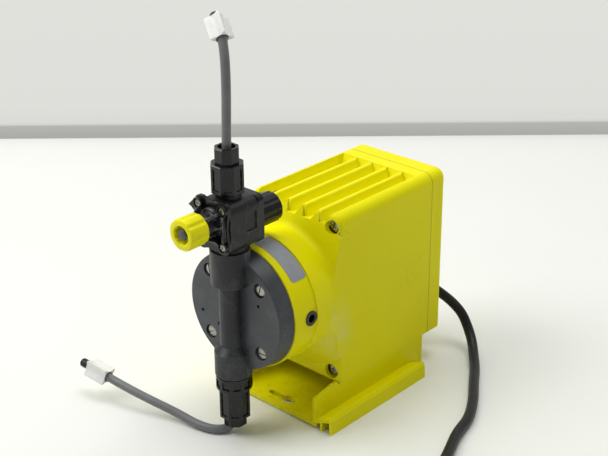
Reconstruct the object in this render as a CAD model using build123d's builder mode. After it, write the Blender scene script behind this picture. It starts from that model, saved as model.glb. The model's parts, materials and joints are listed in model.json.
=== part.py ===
"""Diaphragm metering pump with a four-function valve and tube fittings.

Frame, in millimetres: +Z is up and z = 0 is the plane that the base rails stand on.
The liquid end faces -Y and the control panel faces +Y. The origin lies under the
middle of the pump's length and width. x = 0 is the plane of symmetry of the drive.
"""

import os
from math import cos, degrees, pi, radians, sin, sqrt, tan

from build123d import *

os.makedirs("parts", exist_ok=True)

# --------------------------------------------------------------------------
# Driving dimensions
# --------------------------------------------------------------------------
running_fit = 0.06        # radial clearance of a shaft in its guide
loose_fit = 0.3           # clearance between parts that do not guide each other

# Housing and rear cover
face_y = -15.0            # front face of the housing
housing_width = 85.0
housing_depth = 105.4     # front face to the joint with the rear cover
housing_bottom_z = 26.0
housing_top_z = 159.3
housing_wall = 3.0
top_edge_radius = 8.0
front_edge_radius = 4.0
cover_depth = 17.0
cover_edge_radius = 5.0
drive_z = 95.9            # height of the solenoid and pump head axis

# Housing corner screws
screw_spread_x = 35.3
screw_high_z = 150.0
screw_low_z = 34.8
screw_recess_radius = 5.7
screw_recess_depth = 5.0
screw_head_radius = 4.2
screw_head_height = 2.6
screw_shank_radius = 2.1
screw_shank_length = 14.0

# Cooling grooves in the top
groove_count = 5
groove_pitch = 14.7
groove_depth = 8.3
groove_slope_run = 5.5
groove_left_x = -35.5
groove_right_x = 34.7
groove_crest = 1.0
groove_length = 95.0
groove_end_run = 5.0

# Neck that carries the liquid end
neck_length = 49.0
neck_radius = 46.3
neck_band_length = 21.0
collar_front_radius = 47.5
collar_rear_radius = 45.6
flare_length = 10.0
flare_radius = 64.0
flare_corner_radius = 5.0
flare_straight = 4.5
neck_wall_thickness = 11.0
drive_bore_radius = 38.0
backing_recess_radius = 27.2
backing_thickness = 3.0
backing_opening_radius = 23.0

# Nameplate blank and vent bush on the neck
label_thickness = 0.3
label_width = 14.5
label_front_gap = 6.0
label_start_angle = 0.0
label_end_angle = 54.0
bush_front_gap = 15.5
bush_flange_radius = 5.5
bush_flange_thickness = 1.6
bush_body_radius = 4.5
bush_hole_radius = 3.0
bush_length = 6.0

# Base
base_front_reach = 24.0
base_length = 123.8
base_half_width = 42.0
base_wall = 3.5
base_floor_z = 1.2
base_floor_thickness = 3.8
base_lip_front_z = 24.0
base_lip_rear_z = 28.0
keyhole_from_front = 9.5
keyhole_length = 26.2
keyhole_width = 4.5
keyhole_center_x = -0.4
keyhole_eye_radius = 4.5
keyhole_eye_x = 5.0
rail_length = 109.3
rail_inner_x = 45.7
rail_outer_x = 56.8
rail_crest_x = 54.5
rail_crest_z = 13.0
rail_root_z = 7.6
rail_wall = 2.0

# Solenoid drive
yoke_radius = 37.7
yoke_length = 58.0
yoke_front_wall = 7.0
yoke_shell = 5.7
end_plate_thickness = 5.0
pole_radius = 13.5
pole_bore_radius = 9.8
coil_bore_radius = 14.0
coil_length = 39.0
plunger_radius = 13.7
plunger_length = 34.0
bumper_thickness = 4.0
bumper_outer_radius = 12.0
bumper_inner_radius = 5.2
shaft_radius = 6.0
stroke_travel = 1.25
return_spring_wire = 1.6
wire_sides = 6            # every spring wire is drawn six-sided
return_spring_radius = 7.7
return_spring_turns = 4.0
stop_recess_radius = 4.6
stop_recess_depth = 3.0
stop_screw_radius = 4.0
stop_screw_engagement = 0.5

# Diaphragm and pump head
head_thickness = 12.8
head_front_radius = 43.3
head_back_radius = 45.2
diaphragm_radius = 26.7
diaphragm_thickness = 2.2
chamber_radius = 20.0
chamber_depth = 2.5
head_screw_spread = 24.4
head_screw_bore_radius = 5.2
head_screw_bore_depth = 3.4
head_screw_head_radius = 4.75
head_screw_head_height = 2.8
head_screw_radius = 2.5
head_screw_length = 16.0
weep_hole_radius = 1.4
weep_hole_depth = 3.0

# Liquid column on the pump head
column_lead = 2.4         # column axis in front of the head's face
column_tube_radius = 9.0
upper_socket_radius = 14.0
upper_socket_bottom_z = 120.5
upper_socket_top_z = 146.0
lower_socket_radius = 13.4
lower_socket_top_z = 72.0
lower_socket_bevel = 4.5
socket_bevel_angle = 44.0
lower_socket_bottom_z = 49.0
socket_bore_radius = 10.3
port_radius = 3.0
suction_bore_top_z = 66.0
discharge_bore_bottom_z = 128.0
cartridge_radius = 10.0
ball_radius = 4.76
ball_lift = 2.0
ball_rest_gap = 0.05
seat_height = 3.0
seat_bore_radius = 3.2
cage_bore_radius = 5.1
cage_roof_gap = 0.3
cage_vent_radius = 2.4

# Suction connection
collar_radius = 13.0
collar_height = 10.0
collar_groove = 1.0
collar_window_count = 10
collar_window_width = 5.6
collar_window_height = 6.0
collar_window_depth = 1.2
spigot_radius = 8.9
spigot_length = 11.0
spigot_rise = 2.0
tube_socket_depth = 4.0
nut_radius = 11.6
nut_step_z = 14.0
nut_end_radius = 8.7
nut_end_z = 6.9
nut_sides = 8
nut_panel_depth = 0.8
nut_panel_width = 5.6
nut_mouth_radius = 5.2
nut_mouth_length = 4.4
ferrule_length = 7.0
ferrule_outer_radius = 6.2
ferrule_tip_radius = 4.6

# Four-function valve
valve_half_width = 15.4
valve_front_lead = 13.2   # column axis to the front face of the block
valve_rear_lead = 13.2
valve_bottom_z = 148.5
valve_top_z = 184.0
valve_shoulder_radius = 6.5
valve_spigot_radius = 12.2
valve_plate_thickness = 5.0
front_plate_bottom_z = 149.0
front_plate_top_z = 187.0
rear_plate_bottom_z = 149.0
rear_plate_top_z = 184.0
plate_web_thickness = 2.6
plate_corner_radius = 4.6
plate_screw_x = 11.2
plate_screw_low_z = 155.4
plate_screw_high_z = 181.5
plate_screw_drop = 3.0    # how much lower the upper screws sit in the rear plate
plate_screw_head_radius = 2.8
plate_screw_bore_radius = 3.1
plate_screw_bore_depth = 2.2
plate_screw_head_height = 1.8
plate_screw_radius = 1.5
plate_screw_length = 12.0
relief_z = 170.0          # axis of the yellow relief knob
prime_z = 163.5           # axis of the black priming knob
valve_disc_radius = 10.6
valve_disc_thickness = 1.5
valve_pocket_radius = 6.0
valve_pocket_depth = 3.6
valve_drill_radius = 1.5
bonnet_radius = 7.5
bonnet_bore_radius = 5.6
bonnet_end_thickness = 2.0
relief_bonnet_length = 20.6
prime_bonnet_length = 13.0
stem_radius = 2.5
stem_flange_radius = 4.8
stem_flange_thickness = 2.0
stem_tip_radius = 3.0
valve_spring_wire = 1.1
valve_spring_radius = 3.9
knob_flutes = 8
knob_flute_radius = 3.2
knob_flute_depth = 0.7
knob_cavity_clearance = 0.4
relief_knob_radius = 11.3
relief_knob_length = 24.0
relief_knob_gap = 1.6     # rear rim of the knob to the valve plate
prime_knob_radius = 10.9
prime_knob_length = 22.0
prime_knob_gap = 1.5
knob_web = 3.5
knob_recess_radius = 6.5

# Discharge connection
top_ring_radius = 9.0
top_ring_height = 4.0
coupling_radius = 11.8
coupling_height = 20.3
coupling_rim = 4.0
top_nut_radius = 8.7
top_nut_height = 11.2
discharge_spigot_radius = 5.9
tube_radius = 3.175
tube_clearance = 0.1

# Rear controls
stroke_knob_radius = 17.0
stroke_knob_length = 14.0
stroke_knob_gap = 1.6
stroke_knob_flutes = 18
speed_knob_radius = 10.0
speed_knob_length = 12.0
speed_knob_above = 38.0
speed_shaft_radius = 3.0
speed_shaft_length = 9.0
pot_radius = 8.0
pot_length = 10.0
panel_boss_radius = 9.0
panel_boss_length = 7.0

# Circuit board
board_half_width = 34.0
board_front_gap = 26.0
board_length = 72.0
board_thickness = 1.6
board_post_height = 4.0
board_post_radius = 3.0
board_post_inset = 4.0

# Tube ends and mains cord
fitting_side = 13.0
fitting_length = 24.0
fitting_groove_radius = 9.0
fitting_groove_depth = 1.2
fitting_bore_depth = 8.0
end_plug_radius = 3.4
end_plug_inside = 10.0
end_plug_outside = 3.0
cord_radius = 3.95
gland_x = 9.0
gland_z = 61.8
gland_flange_radius = 12.0
gland_flange_thickness = 2.5
gland_body_radius = 6.5
relief_setback = 7.0      # tapered relief starts this far behind the cord's start
relief_length = 25.0
relief_base_radius = 7.2
relief_tip_radius = 5.1
coil_width = 17.0
coil_height = 23.0
coil_mean_radius = 40.0

# --------------------------------------------------------------------------
# Derived places
# --------------------------------------------------------------------------
cover_y = face_y + housing_depth
panel_y = cover_y + cover_depth
neck_front_y = face_y - neck_length
head_front_y = neck_front_y - head_thickness
column_y = head_front_y - column_lead
yoke_front_y = neck_front_y + neck_wall_thickness
yoke_rear_y = yoke_front_y + yoke_length
yoke_inner_y = yoke_front_y + yoke_front_wall
plunger_rear_y = yoke_rear_y - bumper_thickness
plunger_front_y = plunger_rear_y - plunger_length
half_width = housing_width / 2
base_front_y = face_y - base_front_reach
base_rear_y = base_front_y + base_length
base_top_z = base_floor_z + base_floor_thickness


def front_plane(y, x=0.0, z=0.0):
    """Upright plane whose normal points to -Y, with local x = X and local y = Z."""
    return Plane(origin=(x, y, z), x_dir=(1, 0, 0), z_dir=(0, -1, 0))


def bar_along_y(y_start, y_end, radius, x=0.0, z=drive_z, mode=Mode.ADD):
    """Round bar between two planes of constant y."""
    with BuildSketch(front_plane(y_start, x, z)) as disc:
        Circle(radius)
    extrude(disc.sketch, amount=y_start - y_end, mode=mode)


def bar_along_z(z_start, z_end, radius, x=0.0, y=column_y, mode=Mode.ADD):
    """Round bar between two planes of constant z."""
    with BuildSketch(Plane.XY.offset(z_start)) as disc:
        with Locations((x, y)):
            Circle(radius)
    extrude(disc.sketch, amount=z_end - z_start, mode=mode)


def save(builder, name):
    """Label a finished piece and write it as parts/name.step."""
    builder.part.label = name
    export_step(builder.part, f"parts/{name}.step")


# --------------------------------------------------------------------------
# Base: tray with two side walls and a hollow rail along each side
# --------------------------------------------------------------------------
with BuildPart() as base:
    tray_width = 2 * base_half_width
    with BuildSketch(Plane.XY.offset(base_floor_z)):
        with Locations((0, base_front_y)):
            Rectangle(tray_width, base_length, align=(Align.CENTER, Align.MIN))
    extrude(amount=base_floor_thickness)
    for side in (-1, 1):
        with BuildSketch(Plane.YZ.offset(side * base_half_width)):
            with BuildLine():
                Polyline(
                    (base_front_y, base_floor_z),
                    (base_front_y, base_lip_front_z),
                    (face_y - loose_fit, base_lip_rear_z),
                    (face_y - loose_fit, housing_bottom_z),
                    (base_rear_y, housing_bottom_z),
                    (base_rear_y, base_floor_z),
                    close=True,
                )
            make_face()
        extrude(amount=-side * base_wall)
    with BuildSketch(front_plane(base_rear_y)):
        with Locations((0, base_floor_z)):
            Rectangle(tray_width, housing_bottom_z - base_floor_z, align=(Align.CENTER, Align.MIN))
    extrude(amount=base_wall)
    for side in (-1, 1):
        with BuildSketch(front_plane(base_front_y)) as rail_section:
            with BuildLine():
                Polyline(
                    (side * base_half_width, rail_root_z),
                    (side * rail_crest_x, rail_crest_z),
                    (side * (rail_outer_x - 0.6), rail_crest_z - 2.6),
                    (side * rail_outer_x, 0),
                    (side * (rail_outer_x - rail_wall), 0),
                    (side * (rail_outer_x - rail_wall - 0.5), rail_crest_z - 3.6),
                    (side * (rail_inner_x + rail_wall), rail_root_z - 0.6),
                    (side * (rail_inner_x + rail_wall), 0),
                    (side * rail_inner_x, 0),
                    (side * rail_inner_x, rail_root_z - 1.6),
                    (side * base_half_width, rail_root_z - 3.0),
                    close=True,
                )
            make_face()
        extrude(amount=-rail_length)
    with BuildSketch(Plane.XY.offset(base_floor_z)):
        with Locations((keyhole_center_x, base_front_y + keyhole_from_front)):
            SlotOverall(keyhole_length, keyhole_width)
        with Locations((keyhole_eye_x, base_front_y + keyhole_from_front)):
            Circle(keyhole_eye_radius)
    extrude(amount=base_floor_thickness, mode=Mode.SUBTRACT)
save(base, "base")

# --------------------------------------------------------------------------
# Housing: box, grooved top, and the neck with its flare into the front face
# --------------------------------------------------------------------------
housing_height = housing_top_z - housing_bottom_z

with BuildPart() as groove_cutter:
    with BuildSketch(front_plane(face_y - flare_length)):
        for index in range(groove_count):
            left = groove_left_x + index * groove_pitch
            right = min(left + groove_pitch - groove_crest, groove_right_x)
            floor_z = housing_top_z - groove_depth
            with BuildLine():
                Polyline(
                    (left, housing_top_z + 1),
                    (left + 0.6, floor_z),
                    (right - groove_slope_run, floor_z),
                    (right, housing_top_z),
                    (right, housing_top_z + 1),
                    close=True,
                )
            make_face()
    extrude(amount=-(groove_length + flare_length))
    with BuildSketch(Plane.YZ.offset(-half_width)):
        with BuildLine():
            Polyline(
                (face_y - flare_length, housing_top_z - groove_depth - 1),
                (face_y + groove_length - groove_end_run, housing_top_z - groove_depth - 1),
                (face_y + groove_length - groove_end_run, housing_top_z - groove_depth),
                (face_y + groove_length, housing_top_z + 1),
                (face_y - flare_length, housing_top_z + 1),
                close=True,
            )
        make_face()
    extrude(amount=housing_width, mode=Mode.INTERSECT)

with BuildPart() as flare:
    with BuildSketch(Plane.YZ) as flare_profile:
        with BuildLine():
            FilletPolyline(
                (face_y - flare_length, drive_z + collar_rear_radius),
                (face_y - flare_straight, drive_z + collar_rear_radius),
                (face_y + 0.2, drive_z + flare_radius),
                radius=flare_corner_radius,
            )
            Polyline(
                (face_y + 0.2, drive_z + flare_radius),
                (face_y + housing_wall, drive_z + flare_radius),
                (face_y + housing_wall, drive_z),
                (face_y - flare_length, drive_z),
                (face_y - flare_length, drive_z + collar_rear_radius),
            )
        make_face()
    revolve(axis=Axis((0, 0, drive_z), (0, 1, 0)))
    with BuildSketch(front_plane(face_y - flare_length)):
        with Locations((0, housing_bottom_z)):
            Rectangle(housing_width, housing_height, align=(Align.CENTER, Align.MIN))
    extrude(amount=-(flare_length + housing_wall), mode=Mode.INTERSECT)

with BuildPart() as housing:
    with BuildSketch(front_plane(face_y)):
        with Locations((0, housing_bottom_z)):
            Rectangle(housing_width, housing_height, align=(Align.CENTER, Align.MIN))
    extrude(amount=-housing_depth)
    long_edges = housing.edges().filter_by(Axis.Y).group_by(Axis.Z)[-1]
    fillet(long_edges, radius=top_edge_radius)
    front_edges = housing.faces().sort_by(Axis.Y)[0].edges()
    fillet(front_edges, radius=front_edge_radius)
    add(flare.part)
    # Neck band, and the slightly larger collar behind it
    bar_along_y(neck_front_y, face_y, neck_radius - 2)
    bar_along_y(neck_front_y, neck_front_y + neck_band_length, neck_radius)
    with BuildSketch(Plane.YZ):
        with BuildLine():
            Polyline(
                (neck_front_y + neck_band_length, drive_z),
                (neck_front_y + neck_band_length, drive_z + collar_front_radius),
                (face_y - flare_length, drive_z + collar_rear_radius),
                (face_y - flare_length, drive_z),
                close=True,
            )
        make_face()
    revolve(axis=Axis((0, 0, drive_z), (0, 1, 0)))
    # Inside of the box
    with BuildSketch(front_plane(face_y + housing_wall)):
        with Locations((0, housing_bottom_z + housing_wall)):
            Rectangle(
                housing_width - 2 * housing_wall,
                housing_height - 2 * housing_wall - groove_depth,
                align=(Align.CENTER, Align.MIN),
            )
    extrude(amount=-housing_depth, mode=Mode.SUBTRACT)
    # Bosses for the corner screws
    for x in (-screw_spread_x, screw_spread_x):
        for z in (screw_low_z, screw_high_z):
            bar_along_y(face_y + housing_wall, face_y + 24, screw_recess_radius, x, z)
    # Drive bore, and the front wall that the liquid end bolts to
    bar_along_y(yoke_front_y, face_y + housing_wall, drive_bore_radius, mode=Mode.SUBTRACT)
    bar_along_y(neck_front_y, yoke_front_y, backing_opening_radius, mode=Mode.SUBTRACT)
    bar_along_y(
        neck_front_y,
        neck_front_y + backing_thickness,
        backing_recess_radius,
        mode=Mode.SUBTRACT,
    )
    for x in (-head_screw_spread, head_screw_spread):
        for dz in (-head_screw_spread, head_screw_spread):
            bar_along_y(
                neck_front_y,
                yoke_front_y,
                head_screw_radius + tube_clearance,
                x,
                drive_z + dz,
                mode=Mode.SUBTRACT,
            )
    add(groove_cutter.part, mode=Mode.SUBTRACT)
    for x in (-screw_spread_x, screw_spread_x):
        for z in (screw_low_z, screw_high_z):
            seat_y = face_y + screw_recess_depth
            bar_along_y(face_y - 1, seat_y, screw_recess_radius, x, z, Mode.SUBTRACT)
            bar_along_y(
                seat_y,
                seat_y + screw_shank_length,
                screw_shank_radius + tube_clearance,
                x,
                z,
                Mode.SUBTRACT,
            )
    # Vent bush hole through the right of the neck
    bush_y = neck_front_y + bush_front_gap
    bush_seat_x = neck_radius - 1.1
    with BuildSketch(Plane.YZ.offset(yoke_radius - 2)):
        with Locations((bush_y, drive_z)):
            Circle(bush_body_radius + tube_clearance)
    extrude(amount=neck_radius, mode=Mode.SUBTRACT)
    with BuildSketch(Plane.YZ.offset(bush_seat_x)):
        with Locations((bush_y, drive_z)):
            Circle(bush_flange_radius + tube_clearance)
    extrude(amount=neck_radius, mode=Mode.SUBTRACT)
    # Posts for the circuit board
    post_y_front = face_y + board_front_gap + board_post_inset
    post_y_rear = face_y + board_front_gap + board_length - board_post_inset
    post_x = board_half_width - board_post_inset
    post_z = housing_bottom_z + housing_wall
    for x in (-post_x, post_x):
        for y in (post_y_front, post_y_rear):
            bar_along_z(post_z - 1, post_z + board_post_height, board_post_radius, x, y)
save(housing, "housing")

with BuildPart() as housing_screws:
    for x in (-screw_spread_x, screw_spread_x):
        for z in (screw_low_z, screw_high_z):
            seat_y = face_y + screw_recess_depth
            bar_along_y(seat_y - screw_head_height, seat_y, screw_head_radius, x, z)
            bar_along_y(seat_y, seat_y + screw_shank_length, screw_shank_radius, x, z)
save(housing_screws, "housing_screws")

with BuildPart() as label_plate:
    label_y = neck_front_y + label_front_gap
    with BuildSketch(Plane.YZ):
        with Locations((label_y, drive_z + neck_radius)):
            Rectangle(label_width, label_thickness, align=(Align.MIN, Align.MIN))
    revolve(
        axis=Axis((0, 0, drive_z), (0, 1, 0)),
        revolution_arc=label_end_angle - label_start_angle,
    )
save(label_plate, "label_plate")

with BuildPart() as vent_bush:
    with BuildSketch(Plane.YZ.offset(bush_seat_x)):
        with Locations((bush_y, drive_z)):
            Circle(bush_flange_radius)
            Circle(bush_hole_radius, mode=Mode.SUBTRACT)
    extrude(amount=bush_flange_thickness)
    with BuildSketch(Plane.YZ.offset(bush_seat_x)):
        with Locations((bush_y, drive_z)):
            Circle(bush_body_radius)
            Circle(bush_hole_radius, mode=Mode.SUBTRACT)
    extrude(amount=-bush_length)
save(vent_bush, "vent_bush")

# --------------------------------------------------------------------------
# Rear cover with the control panel, its pot, board and knobs
# --------------------------------------------------------------------------
speed_z = drive_z + speed_knob_above

with BuildPart() as rear_cover:
    with BuildSketch(front_plane(cover_y)):
        with Locations((0, housing_bottom_z)):
            Rectangle(housing_width, housing_height, align=(Align.CENTER, Align.MIN))
    extrude(amount=-cover_depth)
    fillet(rear_cover.edges().filter_by(Axis.Y).group_by(Axis.Z)[-1], radius=top_edge_radius)
    fillet(rear_cover.faces().sort_by(Axis.Y)[-1].edges(), radius=cover_edge_radius)
    with BuildSketch(front_plane(cover_y)):
        with Locations((0, housing_bottom_z + cover_edge_radius)):
            Rectangle(
                housing_width - 2 * cover_edge_radius,
                housing_height - 2 * cover_edge_radius,
                align=(Align.CENTER, Align.MIN),
            )
    extrude(amount=-(cover_depth - housing_wall), mode=Mode.SUBTRACT)
    bar_along_y(panel_y - panel_boss_length, panel_y, panel_boss_radius)
    bar_along_y(
        panel_y - panel_boss_length,
        panel_y,
        stop_screw_radius + running_fit,
        mode=Mode.SUBTRACT,
    )
    bar_along_y(
        panel_y - housing_wall,
        panel_y,
        speed_shaft_radius + running_fit,
        z=speed_z,
        mode=Mode.SUBTRACT,
    )
    bar_along_y(
        panel_y - housing_wall,
        panel_y,
        gland_body_radius + tube_clearance,
        gland_x,
        gland_z,
        Mode.SUBTRACT,
    )
save(rear_cover, "rear_cover")

with BuildPart() as speed_pot:
    pot_y = panel_y - housing_wall
    bar_along_y(pot_y - pot_length, pot_y, pot_radius, z=speed_z)
    bar_along_y(
        pot_y - speed_shaft_length + housing_wall,
        pot_y,
        speed_shaft_radius + running_fit,
        z=speed_z,
        mode=Mode.SUBTRACT,
    )
save(speed_pot, "speed_pot")


def fluted_bar(y_start, y_end, z, radius, flutes, flute_radius, flute_depth, bevel):
    """Bevelled round blank with shallow hollows around its rim, added to the part."""
    with BuildPart(mode=Mode.PRIVATE) as blank:
        bar_along_y(y_start, y_end, radius, z=z)
        chamfer(blank.faces().filter_by(Axis.Y).edges(), length=bevel)
        with BuildSketch(front_plane(y_start, z=z)) as hollows:
            with PolarLocations(radius + flute_radius - flute_depth, flutes):
                Circle(flute_radius)
        extrude(hollows.sketch, amount=y_start - y_end, mode=Mode.SUBTRACT)
    add(blank.part)


with BuildPart() as speed_knob:
    knob_y = panel_y + loose_fit
    knob_end_y = knob_y + speed_knob_length
    fluted_bar(knob_y, knob_end_y, speed_z, speed_knob_radius, 12, 2.0, 0.5, 0.5)
    bar_along_y(
        knob_y - speed_shaft_length + 0.5,
        knob_y,
        speed_shaft_radius,
        z=speed_z,
    )
save(speed_knob, "speed_knob")

with BuildPart() as stop_screw:
    tip_y = plunger_rear_y - stop_screw_engagement
    knob_rear_y = panel_y + stroke_knob_gap
    bar_along_y(tip_y, knob_rear_y + stroke_knob_length - 2, stop_screw_radius)
save(stop_screw, "stop_screw")

with BuildPart() as stroke_knob:
    fluted_bar(
        knob_rear_y,
        knob_rear_y + stroke_knob_length,
        drive_z,
        stroke_knob_radius,
        stroke_knob_flutes,
        2.0,
        0.6,
        0.6,
    )
    bar_along_y(
        knob_rear_y,
        knob_rear_y + stroke_knob_length - 2 + running_fit,
        stop_screw_radius + running_fit,
        mode=Mode.SUBTRACT,
    )
save(stroke_knob, "stroke_knob")

with BuildPart() as circuit_board:
    board_z = post_z + board_post_height
    board_y = face_y + board_front_gap
    with BuildSketch(Plane.XY.offset(board_z)):
        with Locations((0, board_y)):
            Rectangle(2 * board_half_width, board_length, align=(Align.CENTER, Align.MIN))
    extrude(amount=board_thickness)
    with BuildSketch(Plane.XY.offset(board_z + board_thickness)):
        with Locations((-16, board_y + 52)):
            Rectangle(26, 22)
    extrude(amount=16)
    with BuildSketch(Plane.XY.offset(board_z + board_thickness)):
        with Locations((12, board_y + 56), (25, board_y + 56), (20, board_y + 40)):
            Circle(5)
    extrude(amount=12)
    with BuildSketch(Plane.XY.offset(board_z + board_thickness)):
        with Locations((-18, board_y + 18), (0, board_y + 18), (18, board_y + 14)):
            Rectangle(12, 8)
    extrude(amount=4)
save(circuit_board, "circuit_board")

# --------------------------------------------------------------------------
# Solenoid drive, armature and diaphragm
# --------------------------------------------------------------------------
with BuildPart() as solenoid_yoke:
    bar_along_y(yoke_front_y, yoke_rear_y, yoke_radius)
    bar_along_y(yoke_inner_y, yoke_rear_y, yoke_radius - yoke_shell, mode=Mode.SUBTRACT)
    pole_end_y = plunger_front_y - stroke_travel - loose_fit
    bar_along_y(yoke_inner_y, pole_end_y, pole_radius)
    bar_along_y(yoke_inner_y, pole_end_y, pole_bore_radius, mode=Mode.SUBTRACT)
    bar_along_y(yoke_front_y, yoke_inner_y, shaft_radius + running_fit, mode=Mode.SUBTRACT)
save(solenoid_yoke, "solenoid_yoke")

with BuildPart() as solenoid_coil:
    bar_along_y(yoke_inner_y, yoke_inner_y + coil_length, yoke_radius - yoke_shell - loose_fit)
    bar_along_y(
        yoke_inner_y,
        yoke_inner_y + coil_length,
        coil_bore_radius,
        mode=Mode.SUBTRACT,
    )
save(solenoid_coil, "solenoid_coil")

with BuildPart() as solenoid_end_plate:
    bar_along_y(yoke_rear_y, yoke_rear_y + end_plate_thickness, yoke_radius)
    bar_along_y(
        yoke_rear_y,
        yoke_rear_y + end_plate_thickness,
        stop_screw_radius + running_fit,
        mode=Mode.SUBTRACT,
    )
save(solenoid_end_plate, "solenoid_end_plate")

with BuildPart() as armature_bumper:
    bar_along_y(plunger_rear_y, yoke_rear_y, bumper_outer_radius)
    bar_along_y(plunger_rear_y, yoke_rear_y, bumper_inner_radius, mode=Mode.SUBTRACT)
save(armature_bumper, "armature_bumper")

with BuildPart() as armature:
    bar_along_y(neck_front_y, plunger_front_y, shaft_radius)
    bar_along_y(plunger_front_y, plunger_rear_y, plunger_radius)
    bar_along_y(
        plunger_rear_y - stop_recess_depth,
        plunger_rear_y,
        stop_recess_radius,
        mode=Mode.SUBTRACT,
    )
save(armature, "armature")


def wound_spring(name, y_start, y_end, radius, wire, turns, z):
    """Compression spring between two planes of constant y."""
    length = y_end - y_start - wire - 0.1
    with BuildPart() as spring:
        with BuildLine():
            winding = Helix(
                pitch=length / turns,
                height=length,
                radius=radius,
                center=(0, y_start + wire / 2 + 0.05, z),
                direction=(0, 1, 0),
            )
        with BuildSketch(Plane(origin=winding @ 0, z_dir=winding % 0)):
            RegularPolygon(wire / 2, wire_sides)
        sweep(path=winding, is_frenet=True)
    save(spring, name)


wound_spring(
    "return_spring",
    yoke_inner_y,
    plunger_front_y,
    return_spring_radius,
    return_spring_wire,
    return_spring_turns,
    drive_z,
)

with BuildPart() as backing_plate:
    backing_rear_y = neck_front_y + backing_thickness
    bar_along_y(neck_front_y, backing_rear_y, backing_recess_radius - 0.2)
    bar_along_y(neck_front_y, backing_rear_y, shaft_radius + running_fit, mode=Mode.SUBTRACT)
save(backing_plate, "backing_plate")

with BuildPart() as diaphragm:
    bar_along_y(neck_front_y - diaphragm_thickness, neck_front_y, diaphragm_radius)
save(diaphragm, "diaphragm")

# --------------------------------------------------------------------------
# Pump head with its liquid column
# --------------------------------------------------------------------------
with BuildPart() as pump_head:
    with BuildSketch(front_plane(head_front_y, z=drive_z)):
        Circle(head_front_radius)
    with BuildSketch(front_plane(neck_front_y, z=drive_z)):
        Circle(head_back_radius)
    loft()
    fillet(pump_head.faces().sort_by(Axis.Y)[0].edges(), radius=0.8)
    bar_along_z(lower_socket_bottom_z, upper_socket_top_z, column_tube_radius)
    bar_along_z(upper_socket_bottom_z, upper_socket_top_z, upper_socket_radius)
    bevel_z = lower_socket_top_z - lower_socket_bevel
    bar_along_z(lower_socket_bottom_z, bevel_z, lower_socket_radius)
    with BuildSketch(Plane.XY.offset(bevel_z)) as bevel_rims:
        with Locations((0, column_y)):
            Circle(lower_socket_radius)
    extrude(bevel_rims.sketch, amount=lower_socket_bevel, taper=socket_bevel_angle)
    bar_along_z(suction_bore_top_z, discharge_bore_bottom_z, port_radius, mode=Mode.SUBTRACT)
    bar_along_z(
        lower_socket_bottom_z,
        suction_bore_top_z,
        socket_bore_radius,
        mode=Mode.SUBTRACT,
    )
    bar_along_z(
        discharge_bore_bottom_z,
        upper_socket_top_z,
        socket_bore_radius,
        mode=Mode.SUBTRACT,
    )
    seat_plane_y = neck_front_y - diaphragm_thickness
    bar_along_y(seat_plane_y, neck_front_y, diaphragm_radius + loose_fit, mode=Mode.SUBTRACT)
    bar_along_y(seat_plane_y - chamber_depth, seat_plane_y, chamber_radius, mode=Mode.SUBTRACT)
    bar_along_y(column_y, seat_plane_y, port_radius, mode=Mode.SUBTRACT)
    for x in (-head_screw_spread, head_screw_spread):
        for dz in (-head_screw_spread, head_screw_spread):
            bar_along_y(
                head_front_y,
                head_front_y + head_screw_bore_depth,
                head_screw_bore_radius,
                x,
                drive_z + dz,
                Mode.SUBTRACT,
            )
            bar_along_y(
                head_front_y,
                neck_front_y,
                head_screw_radius + tube_clearance,
                x,
                drive_z + dz,
                Mode.SUBTRACT,
            )
    for x, dz in ((-32.1, -9.5), (23.2, 12.2), (-16.0, -15.2)):
        bar_along_y(
            head_front_y,
            head_front_y + weep_hole_depth,
            weep_hole_radius,
            x,
            drive_z + dz,
            Mode.SUBTRACT,
        )
save(pump_head, "pump_head")

with BuildPart() as head_screws:
    screw_seat_y = head_front_y + head_screw_bore_depth
    for x in (-head_screw_spread, head_screw_spread):
        for dz in (-head_screw_spread, head_screw_spread):
            z = drive_z + dz
            bar_along_y(
                screw_seat_y - head_screw_head_height,
                screw_seat_y,
                head_screw_head_radius,
                x,
                z,
            )
            bar_along_y(screw_seat_y, screw_seat_y + head_screw_length, head_screw_radius, x, z)
save(head_screws, "head_screws")

# --------------------------------------------------------------------------
# Ball valve cartridges: a seat ring, a loose ball and a cage above each seat
# --------------------------------------------------------------------------
ball_sit = sqrt(ball_radius**2 - seat_bore_radius**2) + ball_rest_gap
cage_roof = ball_sit + ball_radius + ball_lift + cage_roof_gap


def ball_cartridge(prefix, bottom_z, top_z):
    """Seat ring, ball and cage stacked between two heights in a socket bore."""
    with BuildPart() as seat:
        bar_along_z(bottom_z, bottom_z + seat_height, cartridge_radius)
        bar_along_z(bottom_z, bottom_z + seat_height, seat_bore_radius, mode=Mode.SUBTRACT)
    save(seat, f"{prefix}_seat")
    with BuildPart() as cage:
        cage_z = bottom_z + seat_height
        bar_along_z(cage_z, top_z, cartridge_radius)
        bar_along_z(cage_z, cage_z + cage_roof, cage_bore_radius, mode=Mode.SUBTRACT)
        bar_along_z(cage_z, top_z, cage_vent_radius, mode=Mode.SUBTRACT)
        for angle in (0, 90):
            with BuildSketch(Plane.XY.offset(cage_z + cage_roof)):
                with Locations((0, column_y)):
                    Rectangle(2 * cage_bore_radius, 2.4, rotation=angle)
            extrude(amount=top_z - cage_z - cage_roof, mode=Mode.SUBTRACT)
    save(cage, f"{prefix}_cage")
    with BuildPart() as ball:
        with Locations((0, column_y, bottom_z + seat_height + ball_sit)):
            Sphere(ball_radius)
    save(ball, f"{prefix}_ball")


suction_seat_z = lower_socket_bottom_z - collar_groove + spigot_rise
ball_cartridge("suction", suction_seat_z, suction_bore_top_z)
valve_spigot_z = upper_socket_top_z - spigot_rise
ball_cartridge("discharge", discharge_bore_bottom_z, valve_spigot_z)

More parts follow.
